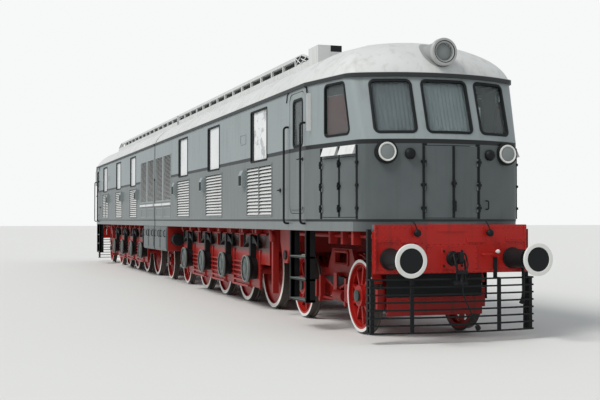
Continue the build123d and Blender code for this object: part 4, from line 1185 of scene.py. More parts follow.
finish_piece("cabinet_flaps", flaps, "slat", bevel=0.001)

# %% [markdown]
# ## Lamps
# Turned forms, as the real ones are spun from sheet: a black hood, a white ring and a ribbed
# lens. A profile of places and radii goes round the lamp's own axis. A small lamp in a domed
# hood stands inside each headlamp, and another hangs on the beam with its wire.

# %% Headlamps, small nose lamps and the lamps on the beam
HEADLAMP = (13.87, 0.87, 2.43 + RAIL)
HEADLAMP_HOOD = [(-0.175, 0), (-0.175, 0.120), (-0.090, 0.148), (-0.055, 0.150), (-0.048, 0.155),
                 (-0.032, 0.155), (-0.028, 0.146), (-0.010, 0.138), (-0.004, 0.128),
                 (-0.022, 0.126), (-0.03, 0.0)]
HEADLAMP_RING = [(-0.020, 0.1235), (-0.002, 0.1235), (0.005, 0.119), (0.005, 0.105),
                 (0.001, 0.099), (-0.020, 0.099)]
LENS_RADIUS, LENS_DOME, LENS_RIB = 0.0985, 0.014, 0.0012
NOSE_LAMP = (13.95, 0.575, 2.405 + RAIL)
NOSE_LAMP_HOOD = [(-0.15, 0), (-0.15, 0.046), (-0.075, 0.046), (-0.070, 0.060), (-0.060, 0.066),
                  (-0.052, 0.072), (-0.040, 0.075), (-0.020, 0.072), (0.0, 0.060),
                  (0.016, 0.038), (0.022, 0.018), (0.022, 0)]
BEAM_LAMP = (13.95, 0.52, 1.38 + RAIL)
BEAM_LAMP_HOOD = [(0.0, 0), (0.0, 0.026), (0.045, 0.028), (0.05, 0.046), (0.075, 0.048),
                  (0.09, 0.040), (0.10, 0.022), (0.10, 0)]
hoods, rings, lenses = bmesh.new(), bmesh.new(), bmesh.new()
ahead = (1, 0, 0)


def on_side(place, side):
    """A place of the left side, or its mirror on the right."""
    return place[0], side * place[1], place[2]


for side in (-1, 1):
    centre = on_side(HEADLAMP, side)
    add_turned(hoods, centre, ahead, HEADLAMP_HOOD, 40)
    add_turned(rings, centre, ahead, HEADLAMP_RING, 40, close=True)
    lens = [(-0.019, 0), (-0.019, LENS_RADIUS), (-0.008, LENS_RADIUS)]
    for k in range(8):
        t = math.pi / 2 * (1 - (k + 1) / 9)
        lens.append((-0.008 + LENS_DOME * math.cos(t) + LENS_RIB * (k % 2),
                     LENS_RADIUS * math.sin(t)))
    add_turned(lenses, centre, ahead, lens + [(0.0065, 0)], 40)
    add_turned(hoods, on_side(NOSE_LAMP, side), ahead, NOSE_LAMP_HOOD, 28)
    add_turned(hoods, on_side(BEAM_LAMP, side), ahead, BEAM_LAMP_HOOD, 24)
    wire = side * BEAM_LAMP[1]
    add_tube(hoods, bend([(13.98, wire - 0.05, 1.535 + RAIL), (14.02, wire - 0.04, 1.50 + RAIL),
                          (14.03, wire, 1.40 + RAIL)], 0.02, 3), 0.008)
finish_piece("lamp_hoods", hoods, "black", replaces=("lamps",))
finish_piece("lamp_rings", rings, "white", replaces=("lamps",))
finish_piece("lamp_lenses", lenses, "lens", replaces=("lamps",))

# %% [markdown]
# ## The roof lamp
# One large lamp sits in the front of the roof: a broad rim with six screws, a dark ring on its
# face that is painted shade in a groove, and a ribbed lens. The ribs are a radius that steps to
# and fro in the profile.

# %% The roof lamp's rim, groove shade and lens
ROOF_LENS = 0.1165
ROOF_LAMP = (13.74, 0, ROOF_LAMP_Z)
rim, lens = bmesh.new(), bmesh.new()
add_turned(rim, ROOF_LAMP, ahead, [(-0.050, 0.184), (0.004, 0.184), (0.012, 0.176),
           (0.014, 0.150), (0.006, 0.128), (-0.012, 0.121), (-0.030, 0.1175), (-0.0385, 0.1175),
           (-0.0385, 0.12), (-0.05, 0.12)], 56, close=True)
add_ring(rim, (13.75, 0, ROOF_LAMP_Z), ahead, 0.164, 6,
         [(0, 0), (0, 0.010), (0.008, 0.009), (0.010, 0)], 10, math.pi / 6)
ribs = [(-0.010 - 0.026 * (r / 0.115) ** 2 + 0.0015 * (k % 2), r)
        for k, r in enumerate([ROOF_LENS * (1 - n / 12) for n in range(12)])]
add_turned(lens, ROOF_LAMP, ahead, [(-0.038, 0), (-0.038, ROOF_LENS)] + ribs + [(-0.010, 0)], 48)
# A dark ring on the rim's face is painted shade in a groove.
groove_shade = bmesh.new()
add_turned(groove_shade, ROOF_LAMP, ahead, [(0.004, 0.138), (0.0150, 0.139), (0.0165, 0.144),
           (0.0150, 0.149), (0.004, 0.150)], 56, close=True)
finish_piece("roof_lamp_groove_shade", groove_shade, "rubber")
finish_piece("roof_lamp_rim", rim, "silver")
finish_piece("roof_lamp_lens", lens, "lens")

# %% [markdown]
# ## Curtains
# Two of the windscreens have drawn curtains behind them. A curtain is one sheet in pleats: its
# flat width is a little more than it covers, and what is over goes into the folds. The
# folds are a sine with uneven depth, so they don't look machine made, and the hem moves more
# than the top, which is held by a rail.

# %% Curtain sheets
PLEAT = 0.052
FOLD_DEPTH = 0.0072
CLOTH_THICK = 0.0012
CURTAIN_OUT = -WALL - 0.0103


def curtain_sheet(name, cloth_name, screen, half, turn, seed):
    """One pleated sheet inside the nose, and its flat width."""
    pleats = round((screen[1] - screen[0]) / PLEAT)
    columns, rows = pleats * 8, 10
    low, high = SCREEN_Z[0] - 0.024, SCREEN_Z[1] + 0.020
    mesh = bpy.data.meshes.new(name)
    points, faces = [], []
    for r in range(rows + 1):
        z = low + (high - low) * r / rows
        depth = FOLD_DEPTH * (1 - 0.45 * r / rows)
        for c in range(columns + 1):
            share = c / columns
            wander = 0.10 * math.sin(3.1 * share * pleats / 4 + seed) * (1 - r / rows)
            fold = math.sin(2 * math.pi * (share * pleats + wander)
                            + 0.9 * math.sin(5.3 * share + seed))
            y = screen[0] - 0.02 + (screen[1] - screen[0] + 0.04) * share
            points.append(nose_skin(y, z, CURTAIN_OUT + depth * fold))
    wide = columns + 1
    for r in range(rows):
        for c in range(columns):
            corner = r * wide + c
            faces.append((corner, corner + 1, corner + wide + 1, corner + wide))
    flat = sum((points[c + 1] - points[c]).length for c in range(columns))
    mesh.from_pydata([tuple(point) for point in points], [], faces)
    mesh.transform(Matrix.Rotation(turn, 4, "Z"))
    mesh.materials.append(paints[cloth_name])
    mesh.shade_smooth()
    sheet = bpy.data.objects.new(name, mesh)
    bpy.context.scene.collection.objects.link(sheet)
    thick = sheet.modifiers.new("cloth", "SOLIDIFY")
    thick.thickness = CLOTH_THICK
    thick.offset = 0.0
    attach(sheet, "half_" + half)
    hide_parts("inner_fittings_" + half)
    return sheet, flat, high - low


# %% [markdown]
# ## Hanging the curtains
# Each curtain hangs from its own thin rail, bent like the nose. Only the driver's screen and
# the middle one have a curtain, and the first is of a darker cloth.

# %% Curtain rails and curtains
rails = bmesh.new()
for screen in SCREENS[:2]:
    line = [nose_skin(screen[0] - 0.028 + (screen[1] - screen[0] + 0.056) * k / 12,
                      SCREEN_Z[1] + 0.0235, CURTAIN_OUT) for k in range(13)]
    add_tube(rails, line, 0.0045, 8)
finish_piece("curtain_rails", rails, "steel", replaces=("inner_fittings",))
for half, turn in (("a", 0.0), ("b", math.pi)):
    for number, screen in enumerate(SCREENS[:2], 1):
        cloth_name = ("dark_curtain", "curtain")[number - 1]
        sheet, flat, tall = curtain_sheet("curtain_%d_%s" % (number, half), cloth_name, screen,
                                          half, turn, number * 1.7)
        print(sheet.name, "flat", round(flat, 3), "x", round(tall, 3), "m")

# %% [markdown]
# ## Inside the cab
# Behind the glass there is a bulkhead, a desk with a sloping top, gauges, a control wheel and
# the post of one seat. Little of it shows, so boxes, an outline with a thickness and turned
# forms are enough.

# %% Bulkhead, desk and seat frame
CAB_Z = heights(1.53, 3.44)
GAUGES = (-0.62, -0.45, -0.28, 0.30, 0.47)
DESK_NORMAL = (-0.394, 0, 0.919)
WHEEL_CENTRE = Vector((12.955, -0.55, 2.405 + RAIL))
WHEEL_RADIUS = 0.13
inside, trim = bmesh.new(), bmesh.new()
INNER = BODY_HALF - WALL - 0.001
for wall in ((11.30, 11.34), (0.06, 0.10)):
    add_box(inside, wall, (-INNER, INNER), CAB_Z)
desk = [(12.90, 1.53), (13.25, 1.53), (13.25, 2.40), (13.20, 2.40), (12.92, 2.28), (12.90, 2.26)]
add_loops(inside, [[(x, y, z + RAIL) for x, z in desk] for y in (-0.90, 0.90)], cap=True)
for y in GAUGES:
    add_turned(trim, (13.10, y, 2.357 + RAIL), DESK_NORMAL,
               [(0, 0), (0, 0.06), (0.016, 0.06), (0.016, 0.05), (0.010, 0.05), (0.010, 0)], 20)
add_turned(trim, (12.99, -0.55, 2.312 + RAIL), DESK_NORMAL, rod_profile(0.03, 0.08), 16)
wheel = []
for k in range(24):
    t = 2 * math.pi * k / 24
    wheel.append(WHEEL_CENTRE + Vector((math.cos(t) * 0.92, math.sin(t), math.cos(t) * 0.394))
                 * WHEEL_RADIUS)
add_tube(trim, wheel + wheel[:1], 0.011, 8)
for spoke in wheel[::8]:
    add_tube(trim, [WHEEL_CENTRE - Vector((0, 0, 0.010)), spoke], 0.008, 6)
add_turned(trim, (12.35, -0.55, 1.53 + RAIL), (0, 0, 1),
           [(0, 0), (0, 0.20), (0.012, 0.20), (0.03, 0.07), (0.05, 0.045), (0.44, 0.045),
            (0.45, 0.15), (0.458, 0.15), (0.458, 0)], 24)
add_box(trim, (12.144, 12.156), (-0.66, -0.44), heights(1.99, 2.12))
finish_piece("cab_inside", inside, "inside", replaces=("inner_fittings",),
             bevel=0.004)
finish_piece("cab_controls", trim, "black", replaces=("inner_fittings",))

# %% [markdown]
# ## Seat pads
# A stuffed pad swells in the middle of its faces and is drawn in at its seams. A cube's grid
# bent by one rule gives both and stays closed.

# %% Seat pads
def add_pad(bm, centre, size, crown, steps=14):
    """A pad whose faces swell and whose sides draw in, by bending a cube's grid."""
    pad = bmesh.new()
    bmesh.ops.create_cube(pad, size=2.0)
    bmesh.ops.subdivide_edges(pad, edges=pad.edges, cuts=steps, use_grid_fill=True)
    half = [s / 2 for s in size]
    thin = min(range(3), key=lambda axis: size[axis])
    for vert in pad.verts:
        u = list(vert.co)
        others = [u[axis] for axis in range(3) if axis != thin]
        swell = max(0.0, 1 - others[0] ** 2) ** 0.5 * max(0.0, 1 - others[1] ** 2) ** 0.5
        edge = max(abs(value) for value in others)
        u[thin] *= (1 - crown) + crown * swell if edge < 1 else (1 - crown)
        for axis in range(3):
            if axis != thin:
                u[axis] *= 1 - 0.02 * (1 - abs(vert.co[thin]))
        vert.co = [c + h * value for c, h, value in zip(centre, half, u)]
    mesh = bpy.data.meshes.new("pad")
    pad.to_mesh(mesh)
    pad.free()
    bm.from_mesh(mesh)


CROWN = 0.35
for name, centre, size in (("seat_cushion", (12.35, -0.55, 2.030 + RAIL), (0.40, 0.46, 0.10)),
                           ("seat_back", (12.185, -0.55, 2.340 + RAIL), (0.07, 0.46, 0.52))):
    bm = bmesh.new()
    add_pad(bm, centre, size, CROWN)
    for pad in finish_piece(name, bm, "leather", replaces=("inner_fittings",),
                            angle=60):
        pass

# %% [markdown]
# ## Blinds
# A red blind hangs behind the lower part of each cab side window from a thin rod. It is almost
# flat, so a few rows with a slight wave are enough, and its front edge follows the window's.

# %% Blinds behind the cab's side windows
BLIND_REAR = 12.775
BLIND_INSET = 0.012
BLIND_BACK, BLIND_FRONT = -0.0435, -0.0415
WINDOW_FRONT, WINDOW_LEAN = SIDE_WINDOW[1][0], 0.145 / 0.70
for side, word in SIDES:
    skin = flank_skin(side)
    low, high = SCREEN_Z[0] - 0.01, SCREEN_Z[0] + 0.545
    rows = [(low + (high - low) * k / 8, 0.0008 * math.sin(2.1 * k)) for k in range(9)]
    front = [WINDOW_FRONT - WINDOW_LEAN * max(0.0, z - SCREEN_Z[0]) for z, _ in rows]
    blind, rod = bmesh.new(), bmesh.new()
    loops = []
    for (z, wave), x in zip(rows, front):
        corners = ((BLIND_REAR, BLIND_BACK), (x - BLIND_INSET, BLIND_BACK),
                   (x - BLIND_INSET, BLIND_FRONT), (BLIND_REAR, BLIND_FRONT))
        loops.append([skin(u, z, out + wave) for u, out in corners])
    add_loops(blind, loops, cap=True)
    rod_z = high + 0.006
    add_tube(rod, [skin(12.757, rod_z, -0.0455), skin(front[-1] + 0.008, rod_z, -0.0455)], 0.006, 8)
    finish_piece("blind_rod_" + word, rod, "steel")
    for half, sheet in zip("ab", finish_piece("blind_" + word, blind, "blind",
                                              angle=60)):
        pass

# %% [markdown]
# ## The roof
# The lantern's sides are open between thin posts, and its front end falls away in a bay with
# crossed braces before a dark panel of painted shade. Flat cover bands over the sheet joints
# cross the roof at even steps.

# %% Lantern braces and roof bands
ROOF_FOOT = 3.46 + RAIL
ROOF_RISE = 0.605
BAND_HALF = 0.03


def roof_skin(x, y, out=0.0):
    """A point on the arched roof sheet."""
    inset = BODY_HALF - abs(y)
    z = ROOF_FOOT + ROOF_RISE * (1 - (1 - inset / BODY_HALF) ** 3) ** 0.714
    return Vector((x, y, z + out))


braces, bands, bay_shades = bmesh.new(), bmesh.new(), bmesh.new()
for side in (-1, 1):
    # A dark panel behind the braces is painted shade in the open bay.
    panel = [(9.93, LANTERN_SILL + 0.012), (10.68, LANTERN_SILL + 0.012),
             (10.23, LANTERN_LINTEL + 0.035), (9.93, LANTERN_LINTEL + 0.035)]
    add_loops(bay_shades, [[(x, side * across, z) for x, z in panel] for across in (0.848, 0.853)],
              cap=True)
    for x, along, top in ((9.94, 0.28, 0.03), (10.22, -0.28, 0.03), (10.24, 0.30, -0.02),
                          (10.50, -0.26, -0.02)):
        add_tube(braces, [(x, side * 0.857, LANTERN_SILL + 0.005),
                          (x + along, side * 0.857, LANTERN_LINTEL + top)], 0.008, 6)
    for k in range(14):
        x = 0.1 + 0.7 * k
        add_box(braces, (x + 0.335, x + 0.365), side_span(side, 0.835, 0.853),
                (3.95 + RAIL, LANTERN_SILL))
for x in [1.5 + 2.1 * k for k in range(6)]:
    for side in (-1, 1):
        loops = []
        for k in range(9):
            y = side * (1.44 - 0.58 * k / 8)
            loops.append([roof_skin(x - BAND_HALF, y, -0.004), roof_skin(x + BAND_HALF, y, -0.004),
                          roof_skin(x + 0.026, y, 0.006), roof_skin(x - 0.026, y, 0.006)])
        add_loops(bands, loops, cap=True)
finish_piece("lantern_braces", braces, "slat")
finish_piece("lantern_end_shade_plates", bay_shades, "rubber")
finish_piece("roof_bands", bands, "roof")

# %% [markdown]
# ## Buffers
# A buffer is turned: flange, ribbed housing, plunger and a slightly domed head whose face is
# black inside a broad white ring. One profile makes the iron and a second one the painted ring.

# %% Buffers
BUFFER = (BEAM, 0.875, 1.05 + RAIL)
BUFFER_PROFILE = [(0, 0), (0, 0.140), (0.022, 0.140), (0.026, 0.136), (0.028, 0.128),
                  (0.045, 0.124), (0.060, 0.121), (0.400, 0.118), (0.408, 0.128),
                  (0.442, 0.128), (0.446, 0.100), (0.446, 0.092), (0.610, 0.092),
                  (0.625, 0.150), (0.636, 0.196), (0.644, 0.205), (0.655, 0.2085),
                  (0.659, 0.160), (0.666, 0.154), (0.6735, 0.060), (0.6745, 0)]
BUFFER_RING = [(0.650, 0.2095), (0.664, 0.2095), (0.670, 0.204), (0.6725, 0.180),
               (0.6722, 0.160), (0.668, 0.155), (0.652, 0.155)]
iron, white = bmesh.new(), bmesh.new()
for side in (-1, 1):
    add_turned(iron, on_side(BUFFER, side), ahead, BUFFER_PROFILE, 48)
    add_turned(white, on_side(BUFFER, side), ahead, BUFFER_RING, 48, close=True)
finish_piece("buffer_rings", white, "white", replaces=("draw_gear",))

# %% [markdown]
# ## Hook and coupling
# The hook is a flat forging, so its outline is drawn and given a thickness. The screw link and
# the bar that hangs on it are bent from round rods, so they are tubes through a few points.

# %% Hook, screw link and hanging bar
hook = [(14.04, 1.02), (14.04, 1.09), (14.12, 1.10), (14.16, 1.14), (14.21, 1.14), (14.235, 1.10),
        (14.235, 1.02), (14.20, 0.985), (14.10, 0.98)]
add_loops(iron, [[(x, y, z + RAIL) for x, z in hook] for y in (-0.028, 0.028)], cap=True)
add_turned(iron, (BEAM, 0, BUFFER[2]), ahead, [(0.015, 0), (0.015, 0.10), (0.05, 0.085),
           (0.055, 0.06), (0.10, 0.055), (0.10, 0)], 20)
for side in (-1, 1):
    y = side * 0.058
    add_tube(iron, bend([(14.185, side * 0.028, BUFFER[2]), (14.185, y, BUFFER[2]),
                         (14.205, y, 0.93 + RAIL), (14.195, y, 0.76 + RAIL),
                         (14.19, 0, 0.74 + RAIL)], 0.025, 3), 0.013, 8)
    add_tube(iron, bend([(14.16, 0, 1.12 + RAIL), (14.16, side * 0.085, 1.12 + RAIL),
                         (14.225, side * 0.085, 0.98 + RAIL), (14.232, side * 0.05, 0.88 + RAIL)],
                        0.03, 3), 0.012, 8)
add_tube(iron, [(14.232, -0.075, 0.88 + RAIL), (14.232, 0.075, 0.88 + RAIL)], 0.026, 10)
add_turned(iron, (14.215, 0, 0.72 + RAIL), (0.06, 0, 1), [(0, 0), (0, 0.020), (0.02, 0.024)]
           + [(0.02 + 0.012 * k, 0.020 + 0.005 * (k % 2)) for k in range(1, 14)]
           + [(0.19, 0.02), (0.19, 0)], 16)
add_tube(iron, [(14.19, -0.09, 0.745 + RAIL), (14.19, 0.09, 0.745 + RAIL)], 0.03, 10)
add_tube(iron, bend([(14.20, 0.02, 0.72 + RAIL), (14.18, 0.035, 0.60 + RAIL),
                     (14.165, 0.25, 0.18 + RAIL)], 0.05, 3), 0.010, 8)
add_turned(iron, (14.165, 0.25, 0.18 + RAIL), (0, 0.4, -1), [(-0.01, 0), (-0.01, 0.03),
           (0.02, 0.036), (0.045, 0.03), (0.045, 0)], 14)
HOOK_BOLT = [(0, 0), (0, 0.016), (0.016, 0.016), (0.020, 0.009), (0.020, 0)]
for side in (-1, 1):
    for z in (0.955, 1.145):
        add_turned(iron, (BEAM + 0.018, side * 0.13, z + RAIL), ahead, HOOK_BOLT, 6)
finish_piece("buffers_and_hook", iron, "black", replaces=("draw_gear",))

# %% [markdown]
# ## The buffer beam
# Flat plates stiffen the beam round the hook and the buffers. Handles, an air hose and a white
# knob are screwed to it. Each plate is given by its span across and its span up, and is laid
# on the beam's face like a strip on a wall.

# %% Beam plates, handles and pipes
PLATES = (((-0.36, 0.36), (0.875, 1.22), 0.010), ((-0.16, 0.16), (0.91, 1.19), 0.020),
          ((-1.08, -0.78), (1.262, 1.34), 0.010), ((0.78, 1.08), (1.262, 1.34), 0.010),
          ((-0.73, -0.47), (1.255, 1.32), 0.014), ((0.21, 0.47), (1.255, 1.32), 0.014),
          ((-1.09, 1.09), (0.862, 0.90), 0.012), ((-1.089, -1.061), (0.90, 1.485), 0.012),
          ((1.061, 1.089), (0.90, 1.485), 0.012))
plates, black = bmesh.new(), bmesh.new()


def beam_face(y, z, out=0.0):
    """A point on the face of the buffer beam, by its height above the rails."""
    return Vector((BEAM + out, y, z + RAIL))


for across, up, thick in PLATES:
    add_strip(plates, beam_face, across, up, thick)
for side in (-1, 1):
    handle = [beam_face(side * y, 1.10, out) for y, out in ((0.56, 0), (0.56, 0.07), (0.42, 0.07),
                                                            (0.42, 0))]
    add_tube(plates, bend(handle, 0.02, 3), 0.011, 8)
hose = bend([(BEAM, 1.00, 0.93 + RAIL), (14.02, 1.00, 0.92 + RAIL), (14.03, 1.00, 0.62 + RAIL),
             (13.99, 1.01, 0.50 + RAIL)], 0.05, 4)
add_tube(black, hose, 0.020, 10)
add_turned(black, hose[-1], (-0.3, 0, -1), [(-0.02, 0), (-0.02, 0.026), (0.03, 0.03), (0.04, 0.04),
           (0.055, 0.04), (0.06, 0)], 12)
finish_piece("beam_plates", plates, "red", bevel=0.002)
KNOB_Y, KNOB_Z = 0.636, 1.137
knob = bmesh.new()
add_turned(knob, beam_face(KNOB_Y, KNOB_Z, 0.06), (0, 1, 0),
           [(-0.03, 0), (-0.028, 0.014), (-0.01, 0.026), (0.01, 0.026), (0.025, 0.014), (0.028, 0)],
           16)
add_tube(knob, [beam_face(KNOB_Y, KNOB_Z), beam_face(KNOB_Y, KNOB_Z, 0.045)], 0.008)
finish_piece("beam_knob", knob, "white")
finish_piece("brake_pipes", black, "black")

# %% [markdown]
# ## Covers of the driving axles
# Outside the plate frame each driving axle has a round cover: a drum, a disc bolted round its
# edge and a raised rim whose paler grey is a painted highlight. All three are turned forms,
# given by their profiles.

# %% Covers of the driving axles
DRIVERS = [axle for axle, radius in AXLES.values() if radius == DRIVING_WHEEL]
PLATE_Y, COVER_Y, COVER_Z = 1.14, 1.34, 0.695 + RAIL
COVER_DRUM = [(0, 0), (0, 0.19), (0.11, 0.205), (0.14, 0.236), (0.198, 0.236), (0.198, 0.20),
              (0.17, 0.20), (0.17, 0)]
COVER_RIM = [(-0.035, 0.2385), (-0.002, 0.2385), (0.004, 0.234), (0.004, 0.220), (0.0, 0.216),
             (-0.020, 0.216)]
COVER_DISC = [(-0.020, 0), (-0.020, 0.214), (-0.014, 0.212), (-0.010, 0.17), (-0.008, 0.11),
              (0.002, 0.095), (0.004, 0.08), (0.004, 0.0)]
COVER_BOLT = [(0, 0), (0, 0.012), (0.012, 0.012), (0.015, 0.008), (0.015, 0)]
discs, rim_highlights, gear, boxes = bmesh.new(), bmesh.new(), bmesh.new(), bmesh.new()
for side in (-1, 1):
    out = (0, side, 0)
    for x in DRIVERS:
        centre = (x, side * COVER_Y, COVER_Z)
        add_turned(gear, (x, side * PLATE_Y, COVER_Z), out, COVER_DRUM, 40)
        # The rim's paler grey is a painted highlight.
        add_turned(rim_highlights, centre, out, COVER_RIM, 40, close=True)
        add_turned(discs, centre, out, COVER_DISC, 36)
        add_ring(discs, (x, side * (COVER_Y - 0.013), COVER_Z), out, 0.19, 8, COVER_BOLT,
                 start=math.pi / 8)
finish_piece("axle_cover_rim_highlights", rim_highlights, "dull_rim", replaces=("drive_gear",))
finish_piece("axle_covers", discs, "drum", replaces=("drive_gear",))

# %% [markdown]
# ## Springs of the driving axles
# Above each cover lies a leaf spring: six bars bent to one curve, each shorter than the one
# above. A bar is a chain of small rectangles along that curve. An air cylinder and a battery
# box fill the inner end of the frame.

# %% Springs, cylinders and battery boxes
SPRING_HALF, SPRING_TOP, SPRING_DROP = 0.47, 1.275 + RAIL, 0.20
LEAF_STEP, LEAF_PITCH, LEAF_THICK = 0.068, 0.0215, 0.019
for side in (-1, 1):
    spring_y = (side * 1.145, side * 1.225)
    for x in DRIVERS:
        for k in range(6):
            half, top = SPRING_HALF - LEAF_STEP * k, SPRING_TOP - LEAF_PITCH * k
            reach = [half * s / 4 for s in range(-4, 5)]
            curve = [(x + u, top - SPRING_DROP * (u / SPRING_HALF) ** 2) for u in reach]
            add_loops(gear, [[(u, spring_y[0], h - LEAF_THICK), (u, spring_y[1], h - LEAF_THICK),
                              (u, spring_y[1], h), (u, spring_y[0], h)] for u, h in curve],
                      cap=True)
        add_box(gear, around(x, 0.045), side_span(side, PLATE_Y, 1.245), heights(0.86, 1.295))
    add_tube(gear, [(x, side * 1.22, 1.08 + RAIL) for x in (1.655, 1.97, 2.0)], 0.14, 28)
    add_box(boxes, (0.06, 1.65), side_span(side, 1.0, 1.438), heights(0.80, 1.399))
finish_piece("drive_springs", gear, "black", replaces=("drive_gear",))
finish_piece("battery_boxes", boxes, "grey", bevel=0.004,
             replaces=("drive_gear",))

# %% [markdown]
# ## Ironwork on the frames
# Between the covers the frame carries spring pins, brackets, upright bars and a long pipe.
# They are plain forgings, so boxes and rods at even steps do. A white pipe bends down over
# each side of the leading truck.

# %% Ironwork along the frames
PIN_REACH, BAR_REACH = 0.46, 0.345
STIFFENERS = [3.1 + 0.9 * k for k in range(7)]
HANGERS = (10.9, 12.45, 12.95, 13.35)
red, black, pale = bmesh.new(), bmesh.new(), bmesh.new()
for side in (-1, 1):
    for x in DRIVERS:
        y = side * 1.215
        for u in around(x, PIN_REACH):
            add_tube(black, [(u, y, z) for z in heights(1.072, 1.385)], 0.020, 10)
            add_box(red, around(u, 0.05), side_span(side, 1.142, 1.27), heights(1.32, 1.398))
        for u in around(x, BAR_REACH):
            add_box(red, around(u, 0.025), side_span(side, 1.139, 1.165), heights(0.35, 1.02))
    for x in STIFFENERS:
        add_box(red, around(x, 0.03), side_span(side, 1.139, 1.19), heights(1.05, 1.39))
    add_tube(red, [(x, side * 1.175, 1.30 + RAIL) for x in (2.25, 9.35)], 0.022, 8)
    add_box(red, (9.72, 9.80), side_span(side, 1.10, 1.20), heights(0.34, 1.398))
    add_turned(red, (9.76, side * 1.20, 1.28 + RAIL), (0, side, 0),
               [(-0.02, 0), (-0.02, 0.09), (0.03, 0.09), (0.045, 0.06), (0.045, 0)], 20)
    bracket = [(10.05, 1.398), (10.62, 1.398), (10.62, 1.20), (10.42, 0.86), (10.22, 0.86),
               (10.05, 1.20)]
    add_loops(red, [[(x, y, z + RAIL) for x, z in bracket]
                    for y in side_span(side, 1.12, 1.15)], cap=True)
    add_tube(black, [(10.35, side * y, 0.99 + RAIL) for y in (1.10, 1.175)], 0.075, 16)
    for x in HANGERS:
        add_box(red, around(x, 0.04), side_span(side, 1.05, 1.16), heights(1.22, 1.398))
    pipe = [(10.62, side * 1.16, 1.335 + RAIL), (13.86, side * 1.02, 1.335 + RAIL)]
    add_tube(red, pipe, 0.028, 10)
    add_tube(pale, bend([(13.30, side * 0.93, 1.395 + RAIL), (13.30, side * 0.93, 1.26 + RAIL),
                         (13.42, side * 0.93, 1.12 + RAIL), (13.42, side * 0.93, 1.00 + RAIL)],
                        0.06, 4), 0.014, 8)
finish_piece("frame_brackets", red, "truck_red", bevel=0.003)
finish_piece("spring_pins", black, "black")
finish_piece("white_pipes", pale, "white")

# %% [markdown]
# ## Battery boxes
# Two lids with raised panels and bent hooks close each box beside the middle axle. They stand
# a little proud of the box, so that light catches their edges.

# %% Lids and hooks of the battery boxes
BATTERY_FACE = 1.44
boxes, red, black = bmesh.new(), bmesh.new(), bmesh.new()
for side in (-1, 1):
    for x in ((0.07, 0.83), (0.87, 1.64)):
        add_box(boxes, x, side_span(side, BATTERY_FACE - 0.010, BATTERY_FACE + 0.012),
                heights(0.83, 1.385))
        add_box(boxes, (x[0] + 0.05, x[1] - 0.05),
                side_span(side, BATTERY_FACE + 0.010, BATTERY_FACE + 0.020), heights(0.88, 1.33))
        for u in (x[0] + 0.12, x[1] - 0.12):
            hook = [(u, side * (BATTERY_FACE + out), z + RAIL) for out, z in
                    ((0.018, 1.30), (0.05, 1.28), (0.05, 1.16), (0.02, 1.14))]
            add_tube(black, bend(hook, 0.015, 3), 0.010, 8)
    add_box(red, (1.65, 1.675), side_span(side, 1.02, 1.42), heights(0.81, 1.395))
finish_piece("battery_lids", boxes, "grey", bevel=0.003)
finish_piece("battery_hooks", black, "black")
finish_piece("battery_ends", red, "truck_red")

# %% [markdown]
# ## Guard plates and springs of the leading truck
# These belong to the truck, so they ride on its body and swing with it. A leaf spring is a
# stack of nine bent bars, each shorter than the one above it, held by a buckle. A raised rim
# lies round the opening in each side plate. A black plate above the red guard plate is painted
# shade, for the dark under the buffer beam.

# %% Guard plates and springs of the leading truck
APRON = 13.42
APRON_HALF = 0.70
TRUCK_MIDDLE, TRUCK_PLATE = 11.5, 0.62
TRUCK_SPRING, TRUCK_LEAF = 1.08, 0.0125
red, black = bmesh.new(), bmesh.new()


def plate_skin(side):
    """A function that gives points on one side plate of the truck."""
    def skin(x, z, out=0.0):
        return Vector((x, side * (TRUCK_PLATE + out), z))
    return skin


add_box(red, (APRON, APRON + 0.025), (-APRON_HALF, APRON_HALF), heights(0.27, 0.515))
# The black plate above the red guard plate is painted shade, for the dark under the beam.
add_box(black, (APRON, APRON + 0.012), (-APRON_HALF, APRON_HALF), heights(0.52, 0.86))
for side in (-1, 1):
    add_box(red, (13.02, APRON), side_span(side, 0.50, 0.53), heights(0.50, 0.80))
    inner_y, outer_y = side * TRUCK_PLATE, side * 0.712
    for k in range(9):
        long, z = TRUCK_SPRING - 0.105 * k, 0.665 + RAIL - 0.0145 * k
        curve = [(TRUCK_MIDDLE + long * s / 2, z + 0.033 * (1 - s * s))
                 for s in (-1, -0.5, 0, 0.5, 1)]
        add_loops(black, [[(x, inner_y, h), (x, outer_y, h), (x, outer_y, h + TRUCK_LEAF),
                           (x, inner_y, h + TRUCK_LEAF)] for x, h in curve], cap=True)
    add_box(red, around(TRUCK_MIDDLE, 0.07), side_span(side, 0.60, 0.73), heights(0.50, 0.76))
    add_rubber(red, plate_skin(side), rectangle((11.24, 11.76), heights(0.90, 1.06)), 0.02, 0.05,
               0.03, -0.001, 0.1)
print("guard plates", APRON_HALF * 2, "m wide at", APRON)

# %% [markdown]
# ## Brakes and wheel guards of the leading truck
# A ring on the side plate marks each axle box. Wedge-shaped brake blocks hang before and
# behind each wheel, with a pull rod below, and a thin curved guard covers the front wheel.

